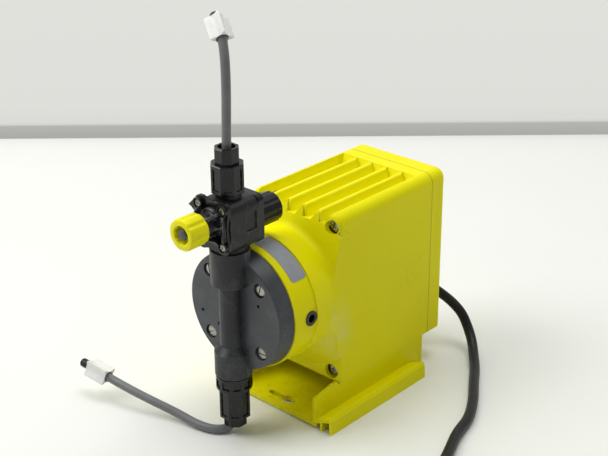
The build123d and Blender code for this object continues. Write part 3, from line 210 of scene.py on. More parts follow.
def yellow_paint():
    """Painted housing and base: blotches, specks, two scuffs on the flank, chips, the cover's seam and
    painted shade under the head.
    """
    p = Paint("yellow_paint", roughness=0.4, gloss=0.1)
    broad = p.noise(9.0, 4.0)
    blotch = p.ramp(broad, 0.42, 0.75)
    grime = p.ramp(p.noise(34.0, 6.0, rough=0.7), 0.62, 0.88)
    speck_field = p.ramp(p.noise(17.0, 2.0), 0.56, 0.66)
    specks = p.math("MULTIPLY", p.ramp(p.cells(300.0), 0.07, 0.12, flip=True), speck_field)
    cloudy = p.noise(85.0, 6.0, p.stretched((1.0, 1.0, 0.55)), 0.62)
    upper_scuff = p.near((0.030, -0.0155, 0.085), 0.005, 0.016)
    lower_scuff = p.near((0.031, -0.015, 0.064), 0.005, 0.017)
    scuff_zone = p.math("MAXIMUM", upper_scuff, lower_scuff)
    scuffs = p.math("MULTIPLY", p.ramp(cloudy, 0.40, 0.62), scuff_zone)
    corner_zone = p.near((0.043, -0.010, 0.143), 0.002, 0.010)
    dirt = p.math("MULTIPLY", p.ramp(p.noise(420.0, 4.0), 0.6, 0.7), corner_zone)
    # Painted shade: a mottled darker brown on the base floor under the head and column, where the head casts
    # its shadow
    head_shadow_zone = p.near((0.0, -0.040, 0.012), 0.012, 0.05)
    head_shadow = p.math("MULTIPLY", p.ramp(p.noise(120.0, 6.0, rough=0.7), 0.5, 0.72), head_shadow_zone)
    chips = p.math("MULTIPLY", p.edges(0.0012, 0.02, 0.12), p.ramp(p.noise(160.0, 4.0), 0.5, 0.62))
    split = p.node("ShaderNodeSeparateXYZ")
    p.link(p.coords, split.inputs["Vector"])
    seam_gap = p.math("ABSOLUTE", p.math("SUBTRACT", split.outputs["Y"], HOUSING_SEAM_Y * MM), 0.0)
    above_base = p.ramp(split.outputs["Z"], 0.0262, 0.0268)
    seam = p.math("MULTIPLY", p.ramp(seam_gap, 0.0002, 0.0005, flip=True), above_base)
    p.colour(
        (0.86, 0.80, 0.0),
        (blotch, (0.80, 0.735, 0.001)),
        (p.math("MULTIPLY", grime, 0.22), (0.52, 0.45, 0.02)),
        (p.math("MULTIPLY", specks, 0.65), (0.14, 0.11, 0.02)),
        (p.math("MULTIPLY", scuffs, 0.5), (0.86, 0.83, 0.42)),
        # Painted shade under the head
        (p.math("MULTIPLY", head_shadow, 0.45), (0.40, 0.33, 0.03)),
        (p.math("MULTIPLY", dirt, 0.8), (0.12, 0.09, 0.02)),
        (p.math("MULTIPLY", chips, 0.35), (0.92, 0.88, 0.35)),
        (p.math("MULTIPLY", seam, 0.65), (0.22, 0.18, 0.01)),
    )
    p.roughness(broad, 0.34, 0.5)
    p.bump(p.noise(520.0, 2.0), 0.12, 0.00008)
    p.bump(p.math("SUBTRACT", scuffs, p.math("MULTIPLY", seam, 4.0)), 0.3, 0.0001)
    return p.mat


def yellow_plastic():
    """Moulded yellow knob with some grime and rubbed edges."""
    p = Paint("yellow_plastic", roughness=0.34, gloss=0.18)
    tone = p.noise(60.0, 4.0)
    worn = p.math("MULTIPLY", p.edges(0.0009, 0.02, 0.2), p.ramp(p.noise(240.0, 3.0), 0.45, 0.6))
    grime = p.ramp(p.noise(150.0, 5.0, rough=0.7), 0.56, 0.8)
    p.colour(
        (0.88, 0.83, 0.003),
        (p.ramp(tone, 0.4, 0.7), (0.80, 0.74, 0.003)),
        (p.math("MULTIPLY", grime, 0.35), (0.34, 0.29, 0.03)),
        (p.math("MULTIPLY", worn, 0.4), (0.86, 0.83, 0.35)),
    )
    p.roughness(tone, 0.26, 0.42)
    p.bump(p.noise(900.0, 2.0), 0.15, 0.00005)
    return p.mat


def dark_plastic(name, base, light, rough_low, rough_high, wear, dust, edge=0.0008):
    """Moulded plastic with rubbed edges, a little dust and a fine skin."""
    p = Paint(name, gloss=0.38)
    tone = p.noise(75.0, 5.0, rough=0.65)
    rubbed = p.math("MULTIPLY", p.edges(edge, 0.02, 0.25), p.ramp(p.noise(300.0, 4.0), 0.42, 0.62))
    streaks = p.ramp(p.noise(1.0, 4.0, p.stretched((900.0, 900.0, 150.0)), 0.7), 0.6, 0.72)
    patches = p.ramp(p.noise(48.0, 3.0), 0.5, 0.68)
    motes = p.ramp(p.cells(900.0), 0.08, 0.16, flip=True)
    p.colour(
        base,
        (p.ramp(tone, 0.4, 0.72), tuple(1.45 * c for c in base)),
        (p.math("MULTIPLY", p.math("MULTIPLY", streaks, patches), wear), light),
        (p.math("MULTIPLY", rubbed, wear), light),
        (p.math("MULTIPLY", p.math("MULTIPLY", motes, patches), dust), (0.32, 0.31, 0.29)),
    )
    p.roughness(tone, rough_low, rough_high)
    p.bump(p.noise(1100.0, 3.0), 0.2, 0.00005)
    p.bump(streaks, 0.1, 0.00004)
    return p.mat


def head_grey(name, front, tints):
    """Grey PVC with painted shade in front of a plane, on the column and valve: plain, light and
    painted-shade tints.
    """
    p = Paint(name, gloss=0.34)
    tone = p.noise(42.0, 5.0, rough=0.65)
    turned = p.node("ShaderNodeTexWave", wave_type="RINGS", rings_direction="Y")
    turned.inputs["Scale"].default_value = 420.0
    turned.inputs["Distortion"].default_value = 0.6
    moved = p.node("ShaderNodeMapping")
    moved.inputs["Location"].default_value = (0.0, 0.0, -DRIVE_Z * MM)
    p.link(p.coords, moved.inputs["Vector"])
    p.link(moved.outputs["Vector"], turned.inputs["Vector"])
    split = p.node("ShaderNodeSeparateXYZ")
    p.link(p.coords, split.inputs["Vector"])
    # Painted shade: everything in front of the head's face is darkened towards the third tint
    shade_in_front = p.ramp(split.outputs["Y"], front - 0.003, front - 0.0015, flip=True)
    bloom = p.ramp(p.noise(26.0, 6.0, rough=0.72), 0.5, 0.74)
    rubbed = p.math("MULTIPLY", p.edges(0.0010, 0.02, 0.2), p.ramp(p.noise(220.0, 4.0), 0.4, 0.6))
    scratch = p.ramp(p.noise(1.0, 3.0, p.stretched((1500.0, 300.0, 90.0)), 0.6), 0.66, 0.72)
    p.colour(
        tints[0],
        (p.ramp(tone, 0.42, 0.7), tints[1]),
        (p.math("MULTIPLY", shade_in_front, 0.85), tints[2]),
        (p.math("MULTIPLY", bloom, 0.4), (0.145, 0.15, 0.152)),
        (p.math("MULTIPLY", scratch, 0.3), (0.22, 0.22, 0.22)),
        (p.math("MULTIPLY", rubbed, 0.5), (0.20, 0.20, 0.205)),
    )
    p.roughness(tone, 0.32, 0.48)
    p.bump(turned.outputs["Fac"], 0.08, 0.00004)
    p.bump(p.noise(800.0, 3.0), 0.12, 0.00005)
    return p.mat


def bright_steel(name, tint, low, high):
    """Plated steel with stains and bright edges."""
    p = Paint(name, metallic=1.0)
    tone = p.noise(300.0, 4.0)
    stain = p.ramp(p.noise(650.0, 5.0, rough=0.7), 0.5, 0.75)
    p.colour(
        tint,
        (p.math("MULTIPLY", stain, 0.55), tuple(0.42 * c for c in tint)),
        (p.math("MULTIPLY", p.edges(0.0004, 0.05, 0.4), 0.6), (0.82, 0.81, 0.78)),
    )
    p.roughness(tone, low, high)
    p.bump(p.noise(1.0, 3.0, p.stretched((2600.0, 2600.0, 500.0))), 0.25, 0.00004)
    return p.mat


def soft_skin(name, base, light, low, high, fine=900.0, depth=0.00006):
    """Even material with cloudy tone, a little soiling and a fine skin."""
    p = Paint(name)
    tone = p.noise(85.0, 4.0)
    soil = p.ramp(p.noise(210.0, 6.0, rough=0.7), 0.52, 0.8)
    p.colour(
        base,
        (p.ramp(tone, 0.35, 0.72), tuple(0.88 * c for c in base)),
        (p.math("MULTIPLY", soil, 0.3), light),
    )
    p.roughness(tone, low, high)
    p.bump(p.noise(fine, 3.0), 0.2, depth)
    return p.mat


def blank_label():
    """Bare grey foil of the nameplate, with a fine weave and some soiling."""
    p = Paint("blank_label", roughness=0.4)
    weave = p.noise(1.0, 3.0, p.stretched((300.0, 2400.0, 300.0)))
    soil = p.ramp(p.noise(180.0, 6.0, rough=0.72), 0.48, 0.76)
    lifted = p.math("MULTIPLY", p.edges(0.0008, 0.02, 0.2), 0.5)
    p.colour(
        (0.30, 0.315, 0.34),
        (p.ramp(weave, 0.4, 0.65), (0.345, 0.36, 0.385)),
        (p.math("MULTIPLY", soil, 0.4), (0.19, 0.195, 0.20)),
        (lifted, (0.45, 0.46, 0.47)),
    )
    p.roughness(weave, 0.30, 0.44)
    p.bump(weave, 0.1, 0.00003)
    return p.mat


def circuit():
    """Green board with tracks and pads."""
    p = Paint("circuit", roughness=0.4)
    tracks = p.node("ShaderNodeTexBrick")
    tracks.inputs["Scale"].default_value = 90.0
    tracks.inputs["Mortar Size"].default_value = 0.03
    p.link(p.coords, tracks.inputs["Vector"])
    pads = p.ramp(p.cells(330.0), 0.16, 0.2, flip=True)
    p.colour(
        (0.012, 0.09, 0.03),
        (tracks.outputs["Fac"], (0.03, 0.16, 0.06)),
        (p.math("MULTIPLY", pads, 0.8), (0.55, 0.53, 0.47)),
    )
    p.bump(pads, 0.3, 0.0001)
    return p.mat


FINISH = {
    "yellow": yellow_paint(),
    "yellow_knob": yellow_plastic(),
    "dusty_black": dark_plastic(
        "dusty_black", (0.008, 0.008, 0.009), (0.34, 0.34, 0.33),
        rough_low=0.2, rough_high=0.4, wear=0.9, dust=0.9, edge=0.0018,
    ),
    "black_plastic": dark_plastic(
        "black_plastic", (0.0055, 0.0055, 0.0065), (0.15, 0.15, 0.15),
        rough_low=0.16, rough_high=0.3, wear=0.5, dust=0.3,
    ),
    # The third tint of each grey is painted shade for the parts in front of the head's face
    "grey_pvc": head_grey(
        "head_grey", HEAD_FRONT_Y * MM,
        ((0.055, 0.060, 0.066), (0.080, 0.086, 0.094), (0.012, 0.013, 0.0135)),
    ),
    "valve_grey": head_grey(
        "valve_grey", HEAD_FRONT_Y * MM,
        ((0.011, 0.012, 0.013), (0.021, 0.0225, 0.024), (0.009, 0.010, 0.0105)),
    ),
    "pin_grey": dark_plastic(
        "pin_grey", (0.085, 0.083, 0.078), (0.4, 0.4, 0.4),
        rough_low=0.35, rough_high=0.5, wear=0.5, dust=0.2,
    ),
    "steel_screw": bright_steel("steel_screw", (0.40, 0.385, 0.34), 0.24, 0.42),
    "label_grey": blank_label(),
    "solenoid_steel": bright_steel("solenoid_steel", (0.42, 0.42, 0.43), 0.3, 0.5),
    "coil_potting": soft_skin("coil_potting", (0.10, 0.035, 0.015), (0.16, 0.09, 0.05), low=0.3, high=0.5),
    "rubber": soft_skin("rubber", (0.016, 0.016, 0.017), (0.06, 0.06, 0.06), low=0.5, high=0.7),
    "ptfe": soft_skin("ptfe", (0.78, 0.78, 0.75), (0.62, 0.60, 0.55), low=0.35, high=0.5),
    "board": circuit(),
    "ceramic_ball": soft_skin(
        "ceramic_ball", (0.80, 0.79, 0.74), (0.70, 0.68, 0.62),
        low=0.08, high=0.18, fine=1500.0, depth=0.00001,
    ),
    "tube_grey": soft_skin(
        "tube_grey", (0.175, 0.183, 0.184), (0.30, 0.30, 0.285),
        low=0.28, high=0.44, fine=700.0,
    ),
    "white_plastic": soft_skin(
        "white_plastic", (0.86, 0.86, 0.835), (0.60, 0.58, 0.51),
        low=0.3, high=0.46, fine=1200.0, depth=0.00004,
    ),
    "black_plug": soft_skin("black_plug", (0.014, 0.014, 0.015), (0.09, 0.09, 0.09), low=0.35, high=0.55),
    "cord_black": soft_skin(
        "cord_black", (0.008, 0.008, 0.009), (0.05, 0.05, 0.048),
        low=0.34, high=0.5, fine=1400.0, depth=0.00005,
    ),
}

for row in frame["record"]["subparts"]:
    shown = NODES[row["node"]]
    finish = FINISH["valve_grey" if row["node"] == "valve_body" else row["material_slot"]]
    if shown.material_slots:
        for material_slot in shown.material_slots:
            material_slot.material = finish
    else:
        shown.data.materials.append(finish)


# --------------------------------------------------------------------------
# Making pieces
# --------------------------------------------------------------------------
def add_piece(name, mesh, slot_name, body="pump", replaces=(), smooth=35.0, finish=None):
    """Links a mesh as a piece of the pump, with its finish and its body."""
    piece = bpy.data.objects.new(name, mesh)
    bpy.context.scene.collection.objects.link(piece)
    mesh.materials.append(FINISH[finish or slot_name])
    for face in mesh.polygons:
        face.use_smooth = True
    mesh.set_sharp_from_angle(angle=math.radians(smooth))
    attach(piece, body)
    if replaces:
        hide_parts(*replaces)
    return piece


def basis(axis, turn=0.0):
    """Rotation that carries local Z to the axis, after a turn about it."""
    return Vector(axis).to_track_quat("Z", "Y").to_matrix().to_4x4() @ Matrix.Rotation(turn, 4, "Z")


def lathe(bm, profile, place, sides=48, wobble=None):
    """Closed surface of revolution about local Z from (radius, height) points, in millimetres."""
    rings = []
    for radius, height in profile:
        if radius < 1e-6:
            rings.append([bm.verts.new(place @ (Vector((0, 0, height)) * MM))])
            continue
        ring = []
        for index in range(sides):
            angle = 2 * math.pi * index / sides
            reach = radius * (1 + (wobble(angle, height) if wobble else 0))
            spot = Vector((reach * math.cos(angle), reach * math.sin(angle), height))
            ring.append(bm.verts.new(place @ (spot * MM)))
        rings.append(ring)
    for lower, upper in zip(rings, rings[1:]):
        for index in range(sides):
            after = (index + 1) % sides
            if len(lower) == 1:
                bm.faces.new((lower[0], upper[after], upper[index]))
            elif len(upper) == 1:
                bm.faces.new((lower[index], lower[after], upper[0]))
            else:
                bm.faces.new((lower[index], lower[after], upper[after], upper[index]))


def bridge(bm, rings):
    """Walls between rings of as many points each, and the two end faces."""
    for lower, upper in zip(rings, rings[1:]):
        for index in range(len(lower)):
            after = (index + 1) % len(lower)
            bm.faces.new((lower[index], lower[after], upper[after], upper[index]))
    bm.faces.new(rings[0])
    bm.faces.new(rings[-1])


def finish_mesh(bm, name):
    """Mesh of what was drawn, with its faces turned outwards."""
    bmesh.ops.recalc_face_normals(bm, faces=bm.faces)
    mesh = bpy.data.meshes.new(name)
    bm.to_mesh(mesh)
    bm.free()
    return mesh


def cut_bars(name, mesh, places, length, width, depth, top):
    """Cuts one or more straight slots in the top of a screw head, as real hollows."""
    bars = bmesh.new()
    for place in places:
        size = Matrix.Diagonal((length * MM, width * MM, depth * MM * 2, 1))
        bmesh.ops.create_cube(bars, size=1.0, matrix=place @ Matrix.Translation((0, 0, top * MM)) @ size)
    bar_mesh = bpy.data.meshes.new(name + "_bars")
    bars.to_mesh(bar_mesh)
    bars.free()
    cutter = bpy.data.objects.new(name + "_cutter", bar_mesh)
    target = bpy.data.objects.new(name + "_target", mesh)
    for thing in (cutter, target):
        bpy.context.scene.collection.objects.link(thing)
    modifier = target.modifiers.new("cut", "BOOLEAN")
    modifier.operation = "DIFFERENCE"
    modifier.solver = "EXACT"
    modifier.use_self = True
    modifier.object = cutter
    graph = bpy.context.evaluated_depsgraph_get()
    result = bpy.data.meshes.new_from_object(target.evaluated_get(graph))
    for thing in (cutter, target):
        bpy.data.objects.remove(thing)
    return result


def screw_set(name, node, spots, axis, radius, height, shank, shank_length, cross, first_turn):
    """Pan-head screws with a slot or a cross, standing where the solid ones do, each turned further."""
    bm = bmesh.new()
    places = []
    for index, spot in enumerate(spots):
        turn = first_turn + index * 1.31
        place = Matrix.Translation(Vector(spot) * MM) @ basis(axis, turn)
        places.append(place)
        lathe(bm, (
            (0, -shank_length),
            (shank - 0.3, -shank_length),
            (shank, -shank_length + 0.5),
            (shank, 0),
            (radius - 0.15, 0),
            (radius, 0.15),
            (radius, height * 0.45),
            (radius * 0.93, height * 0.74),
            (radius * 0.76, height * 0.92),
            (radius * 0.45, height),
            (0, height),
        ), place, 40)
    mesh = finish_mesh(bm, name)
    if cross:
        places += [place @ Matrix.Rotation(math.pi / 2, 4, "Z") for place in places]
        mesh = cut_bars(name, mesh, places, radius * 1.15, radius * 0.25, height * 0.55, height)
    else:
        mesh = cut_bars(name, mesh, places, radius * 2.4, radius * 0.24, height * 0.45, height)
    return add_piece(name, mesh, "steel_screw", replaces=(node,), smooth=28)


HEAD_SCREWS = 24.4
screw_set(
    "head_pan_screws", "head_screws",
    [(x, -73.4, DRIVE_Z + z) for x in (-HEAD_SCREWS, HEAD_SCREWS) for z in (-HEAD_SCREWS, HEAD_SCREWS)],
    FRONT, radius=4.75, height=2.8, shank=2.5, shank_length=16.0, cross=False, first_turn=0.5,
)
screw_set(
    "corner_screws", "housing_screws",
    [(x, -10.0, z) for x in (-35.3, 35.3) for z in (34.8, 150.0)],
    FRONT, radius=4.2, height=2.6, shank=2.1, shank_length=14.0, cross=True, first_turn=0.3,
)
screw_set(
    "front_cross_screws", "front_plate_screws",
    [(x, -95.2, z) for x in (-PLATE_SCREW_X, PLATE_SCREW_X) for z in FRONT_SCREWS_Z],
    FRONT, radius=2.8, height=1.8, shank=1.5, shank_length=12.0, cross=True, first_turn=0.2,
)
screw_set(
    "rear_cross_screws", "rear_plate_screws",
    [(x, -63.2, z) for x in (-PLATE_SCREW_X, PLATE_SCREW_X) for z in REAR_SCREWS_Z],
    REAR, radius=2.8, height=1.8, shank=1.5, shank_length=12.0, cross=True, first_turn=0.9,
)

# Domed cap on each valve stem, seen in the hollow end of its knob
for cap_name, body, spot, axis in (
    ("relief_cap", "relief_stem", (0, -121.5, VALVE_Z), FRONT),
    ("prime_cap", "prime_stem", (0, -39.0, 163.5), REAR),
):
    bm = bmesh.new()
    lathe(bm, (
        (0, -1.5), (3.2, -1.5), (3.9, -1.2), (4.1, -0.6), (4.0, 0.0),
        (3.5, 0.55), (2.7, 0.9), (1.4, 1.15), (0, 1.2),
    ), Matrix.Translation(Vector(spot) * MM) @ basis(axis), 40)
    add_piece(cap_name, finish_mesh(bm, cap_name), "pin_grey", body=body)


# --------------------------------------------------------------------------
# Tubes and mains cord
# --------------------------------------------------------------------------
def spline_piece(name, points, radius, slot_name, nodes):
    """Round cord or tube along one smooth NURBS line through the route, points in millimetres."""
    curve = bpy.data.curves.new(name, "CURVE")
    curve.dimensions = "3D"
    curve.resolution_u = 10
    curve.bevel_depth = radius * MM
    curve.bevel_resolution = 6
    curve.use_fill_caps = True
    spline = curve.splines.new("NURBS")
    spline.points.add(len(points) - 1)
    for knot, (x, y, z) in zip(spline.points, points):
        knot.co = (x * MM, y * MM, z * MM, 1.0)
    spline.order_u = 3
    spline.use_endpoint_u = True
    piece = bpy.data.objects.new(name, curve)
    bpy.context.scene.collection.objects.link(piece)
    curve.materials.append(FINISH[slot_name])
    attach(piece, "pump")
    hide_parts(*nodes)
    return piece


suction_points = [
    (0, COLUMN_Y, 31.0),
    (0, COLUMN_Y, 3.5),
    (-6.4, COLUMN_Y - 13.1, 3.5),
    (-22.0, COLUMN_Y - 17.3, 3.6),
    (-41.0, COLUMN_Y - 20.0, 7.0),
    (-64.0, COLUMN_Y - 26.5, 12.0),
    (-86.0, COLUMN_Y - 31.5, 16.5),
    (-103.5, COLUMN_Y - 33.8, 19.7),
]
discharge_points = [
    (0, COLUMN_Y, 200.3),
    (0, COLUMN_Y, 221.5),
    (0.5, COLUMN_Y + 0.3, 240.0),
    (0.2, COLUMN_Y + 1.2, 256.0),
    (-1.3, COLUMN_Y + 2.7, 270.0),
    (-3.9, COLUMN_Y + 4.6, 282.5),
    (-9.2, COLUMN_Y + 7.9, 291.7),
]
lead_points = [
    (11.2, 110.5, 59.1),
    (26.9, 127.6, 41.9),
    (45.5, 130.8, 30.2),
    (54.5, 129.0, 18.2),
    (63.0, 123.4, 10.6),
    (71.6, 113.5, 5.9),
    (82.0, 101.0, 4.0),
    (94.7, 81.5, 4.0),
    (108.1, 62.4, 4.0),
    (120.0, 40.4, 4.0),
    (124.5, 19.7, 4.0),
    (131.9, 2.4, 4.0),
    (139.5, -15.9, 4.0),
    (143.6, -36.5, 4.0),
    (143.9, -57.0, 4.0),
]

# Turns of the put-away coil: (turn, radius, height) along the winding, the first
# turn going inwards on the table, the next ones rising, the last passing over the top
COIL_X, COIL_Y = 190.0, -77.0
PER_TURN = 16
winding = (
    (0.0, 46.2, 4.0), (0.5, 42.5, 4.0), (1.0, 38.2, 4.0), (1.25, 36.2, 4.3),
    (1.5, 36.0, 9.2), (1.75, 36.0, 10.9), (2.0, 36.0, 11.9), (2.25, 39.5, 12.0),
    (2.5, 43.4, 12.0), (3.0, 44.2, 12.2), (3.25, 44.2, 18.5), (3.5, 44.0, 19.9),
    (4.0, 44.0, 20.0), (4.12, 40.5, 21.5), (4.25, 36.2, 20.2), (4.5, 36.0, 20.0),
    (4.85, 36.2, 21.0), (5.0, 38.5, 25.0), (5.12, 41.5, 27.8), (5.25, 42.5, 28.0),
)
for step in range(1, int(winding[-1][0] * PER_TURN) + 1):
    at = step / PER_TURN
    for (t0, r0, z0), (t1, r1, z1) in zip(winding, winding[1:]):
        if t0 <= at <= t1:
            share = (at - t0) / (t1 - t0)
            radius = (r0 + (r1 - r0) * share) / math.cos(math.pi / PER_TURN) ** 0.5
            angle = math.pi + 2 * math.pi * at
            lead_points.append((
                COIL_X + radius * math.cos(angle),
                COIL_Y + radius * math.sin(angle),
                z0 + (z1 - z0) * share,
            ))
            break
lead_points += [
    (206.0, -119.5, 26.6),
    (221.0, -118.6, 20.0),
    (234.0, -117.5, 13.4),
    (243.0, -117.0, 11.6),
    (254.0, -117.0, 11.5),
]

suction_line = spline_piece(
    "suction_line", suction_points, TUBE_RADIUS, "tube_grey", ("suction_tube",),
)
discharge_line = spline_piece(
    "discharge_line", discharge_points, TUBE_RADIUS, "tube_grey", ("discharge_tube",),
)
lead = spline_piece(
    "mains_lead", lead_points, LEAD_RADIUS, "cord_black", ("power_cord", "cord_coil", "cord_tail"),
)

# The strain relief follows the lead's first run
relief_start = Vector(lead_points[0])
relief_axis = (Vector(lead_points[1]) - relief_start).normalized()
relief_foot = relief_start - relief_axis * 7.0
CONE_TOP = 25.9


def strain_relief():
    """Ribbed cone along the lead, and its flange on the panel."""
    bm = bmesh.new()
    cone = [(4.05, 5.0), (8.6, 5.0), (8.7, 6.2)]
    for index in range(6):
        low = 6.6 + index * 2.95
        shrink = index * 0.52
        cone += [
            (8.1 - shrink, low), (8.05 - shrink, low + 1.9),
            (7.0 - shrink, low + 2.15), (6.95 - shrink, low + 2.7),
        ]
    cone += [(5.3, 24.6), (5.15, 25.4), (4.7, CONE_TOP), (4.05, CONE_TOP)]
    lathe(bm, cone, Matrix.Translation(relief_foot * MM) @ basis(relief_axis), 48)
    lathe(bm, (
        (0, -3.0), (6.5, -3.0), (6.5, 0.0), (11.2, 0.0), (12.0, 0.6), (12.0, 1.8),
        (11.4, 2.5), (10.2, 2.9), (0, 3.2),
    ), Matrix.Translation(Vector((9.0, PANEL_Y, 61.8)) * MM) @ basis(REAR), 56)
    add_piece("strain_relief", finish_mesh(bm, "strain_relief"), "cord_black", replaces=("cord_gland",))


strain_relief()

# Moulded three-pin plug
PLUG_AT = (244.0, -117.0, 11.5)
PLUG = Matrix.Translation(Vector(PLUG_AT) * MM) @ Matrix(
    ((0, 0, 1, 0), (1, 0, 0, 0), (0, 1, 0, 0), (0, 0, 0, 1))
)


def plug_section(bm, half_width, half_height, square, along):
    """Superellipse ring of the plug's body, round at a power of 2 and squarer above it."""
    ring = []
    for index in range(40):
        angle = 2 * math.pi * index / 40
        c, s = math.cos(angle), math.sin(angle)
        power = 2.0 / square
        x = half_width * math.copysign(abs(c) ** power, c)
        y = half_height * math.copysign(abs(s) ** power, s)
        ring.append(bm.verts.new(PLUG @ (Vector((x, y, along)) * MM)))
    return ring


def plug_body():
    """Moulded body, ribbed where it grips the lead: half sizes, squareness and place of each ring."""
    sections = [
        (4.3, 4.3, 2, -6.0), (5.3, 5.3, 2, -5.6), (5.5, 5.5, 2, -3.6), (4.8, 4.8, 2, -3.2),
        (4.9, 4.9, 2, -1.6), (5.7, 5.7, 2, -1.2), (5.9, 5.9, 2, 1.0), (5.1, 5.1, 2, 1.4),
        (5.2, 5.2, 2, 3.0), (6.1, 6.0, 2, 3.4),
        (6.3, 6.2, 2, 6.0), (6.0, 5.8, 2, 7.5), (6.4, 6.2, 2.2, 10.0), (8.6, 7.6, 2.8, 13.0),
        (9.8, 8.6, 3.4, 19.0), (9.2, 8.4, 3.4, 25.0), (9.8, 9.2, 3.6, 30.0), (12.0, 10.6, 4.5, 33.0),
        (12.5, 11.0, 5, 34.5), (12.5, 11.0, 5, 44.5), (12.0, 10.5, 5, 45.7), (10.8, 9.4, 4.5, 46.0),
    ]
    bm = bmesh.new()
    bridge(bm, [plug_section(bm, *row) for row in sections])
    add_piece("plug_body", finish_mesh(bm, "plug_body"), "cord_black", replaces=("mains_plug",), smooth=40)


plug_body()

BLADE_MIDDLE, BLADE_HALF, BLADE_X = 2.5, 3.15, 6.35


def plug_pins():
    """Two flat blades and the round earth pin."""
    bm = bmesh.new()
    blade = [(-0.75, 46), (0.75, 46), (0.75, 62.1), (0.4, 63.5), (-0.4, 63.5), (-0.75, 62.1)]
    for side in (-BLADE_X, BLADE_X):
        lower, upper = (
            [bm.verts.new(PLUG @ (Vector((side + x, BLADE_MIDDLE + half, z)) * MM)) for x, z in blade]
            for half in (-BLADE_HALF, BLADE_HALF)
        )
        bridge(bm, [lower, upper])
    lathe(bm, (
        (0, 46), (2.4, 46), (2.4, 64.4), (1.9, 65.6), (1.0, 66.0), (0, 66.0),
    ), PLUG @ Matrix.Translation((0, -6.0 * MM, 0)), 28)
    add_piece("plug_pins", finish_mesh(bm, "plug_pins"), "steel_screw", smooth=30)


plug_pins()


# Square union nuts with hollow sides, and the stoppers in their open ends
def hollow_square(half, hollow, corner, count=72):
    """Points of a square whose sides are hollow arcs and whose corners are rounded."""
    points = []
    for index in range(count):
        angle = 2 * math.pi * index / count
        c, s = math.cos(angle), math.sin(angle)
        reach = half / max(abs(c), abs(s))
        across_side = min(abs(c), abs(s)) / max(abs(c), abs(s))
        reach -= hollow * math.cos(across_side * math.pi / 2) ** 0.8
        reach = min(reach, half * math.sqrt(2) - corner * (1 - (1 - across_side) * 3))
        points.append((reach * c, reach * s))
    return points


def facing(axis, toward, turn):
    """Rotation that carries local Z to the axis and local X towards a direction, after a turn."""
    first = (toward - axis * axis.dot(toward)).normalized()
    second = axis.cross(first)
    return Matrix((
        (first.x, second.x, axis.x, 0),
        (first.y, second.y, axis.y, 0),
        (first.z, second.z, axis.z, 0),
        (0, 0, 0, 1),
    )) @ Matrix.Rotation(turn, 4, "Z")


def union_nut(name, node, foot, rotation, length):
    """Square nut with hollow sides and a bore at both ends, standing on its foot."""
    place = Matrix.Translation(Vector(foot) * MM) @ rotation
    square = hollow_square(half=6.3, hollow=1.9, corner=0.7)
    bm = bmesh.new()

    def round_ring(reach, along):
        return [
            bm.verts.new(place @ (Vector((x, y, 0)).normalized() * reach * MM + Vector((0, 0, along * MM))))
            for x, y in square
        ]

    def square_ring(scale, along):
        return [bm.verts.new(place @ (Vector((x * scale, y * scale, along)) * MM)) for x, y in square]

    lower_bore = ((2.0, 3.1), (3.9, 3.0), (4.0, 0.4), (4.3, 0.0))
    outside = (
        (0.97, 0.0), (0.985, 0.35), (1.0, 0.9),
        (1.0, length - 0.9), (0.985, length - 0.35), (0.93, length),
    )
    upper_bore = ((4.7, length), (4.5, length - 0.4), (4.4, length - 3.2), (2.0, length - 3.3))
    rings = [round_ring(*row) for row in lower_bore]
    rings += [square_ring(*row) for row in outside]
    rings += [round_ring(*row) for row in upper_bore]
    bridge(bm, rings)
    return add_piece(name, finish_mesh(bm, name), "white_plastic", replaces=(node,), smooth=32)


def stopper(name, node, foot, axis, start, end):
    """Round stopper from start to end above a nut's foot."""
    bm = bmesh.new()
    lathe(bm, (
        (0, start), (3.4, start), (3.4, end - 1.6), (3.25, end - 0.9),
        (2.75, end - 0.25), (1.6, end), (0, end),
    ), Matrix.Translation(Vector(foot) * MM) @ basis(axis), 36)
    return add_piece(name, finish_mesh(bm, name), "black_plug", replaces=(node,), smooth=50)


LOWER_OVERLAP, LOWER_NUT_LONG, LOWER_TURN = 3.0, 18.5, 16
UPPER_NUT_LONG, UPPER_TURN = 17.0, -23
lower_axis = (Vector(suction_points[-1]) - Vector(suction_points[-2])).normalized()
lower_foot = Vector(suction_points[-1]) - lower_axis * LOWER_OVERLAP
lower_rotation = basis(lower_axis, math.radians(LOWER_TURN))
union_nut("suction_union", "suction_fitting", lower_foot, lower_rotation, LOWER_NUT_LONG)
stopper("suction_stopper", "suction_plug", lower_foot, lower_axis, start=11.0, end=26.5)
upper_axis = Vector((-0.715, 0.365, 0.596)).normalized()
upper_foot = Vector((-7.6, COLUMN_Y + 6.9, 289.0))
upper_rotation = facing(upper_axis, back, math.radians(UPPER_TURN))
union_nut("discharge_union", "discharge_fitting", upper_foot, upper_rotation, UPPER_NUT_LONG)
stopper("discharge_stopper", "discharge_plug", upper_foot, upper_axis, start=9.0, end=20.5)


def broad_flutes(angle, height):
    """Share by which the knob's radius shrinks in its eight flutes, less at its two ends."""
    wave = math.cos(8 * angle)
    hollow = max(0.0, wave) ** 1.6
    return -0.07 * hollow if 0.3 < height < 14.8 else -0.02 * hollow


def relief_grip():
    """Short knob of the relief side, open at its end."""
    bm = bmesh.new()
    lathe(bm, (
        (7.9, 0.0), (10.6, 0.0), (11.05, 0.4), (11.1, 1.0), (11.1, 4.0), (11.15, 9.0),
        (11.25, 13.6), (11.1, 14.6), (10.6, 15.3), (9.8, 15.7),
        (7.3, 15.7), (6.7, 15.3), (6.5, 14.6), (6.4, 9.5), (3.2, 9.4), (3.2, 8.0), (7.9, 7.9), (7.9, 0.0),
    ), Matrix.Translation(Vector((0, -107.3, VALVE_Z)) * MM) @ basis(FRONT), 144, broad_flutes)
    bmesh.ops.remove_doubles(bm, verts=bm.verts, dist=1e-7)
    add_piece(
        "relief_grip", finish_mesh(bm, "relief_grip"), "yellow_knob",
        body="relief_knob", replaces=("relief_knob",), smooth=30,
    )


relief_grip()

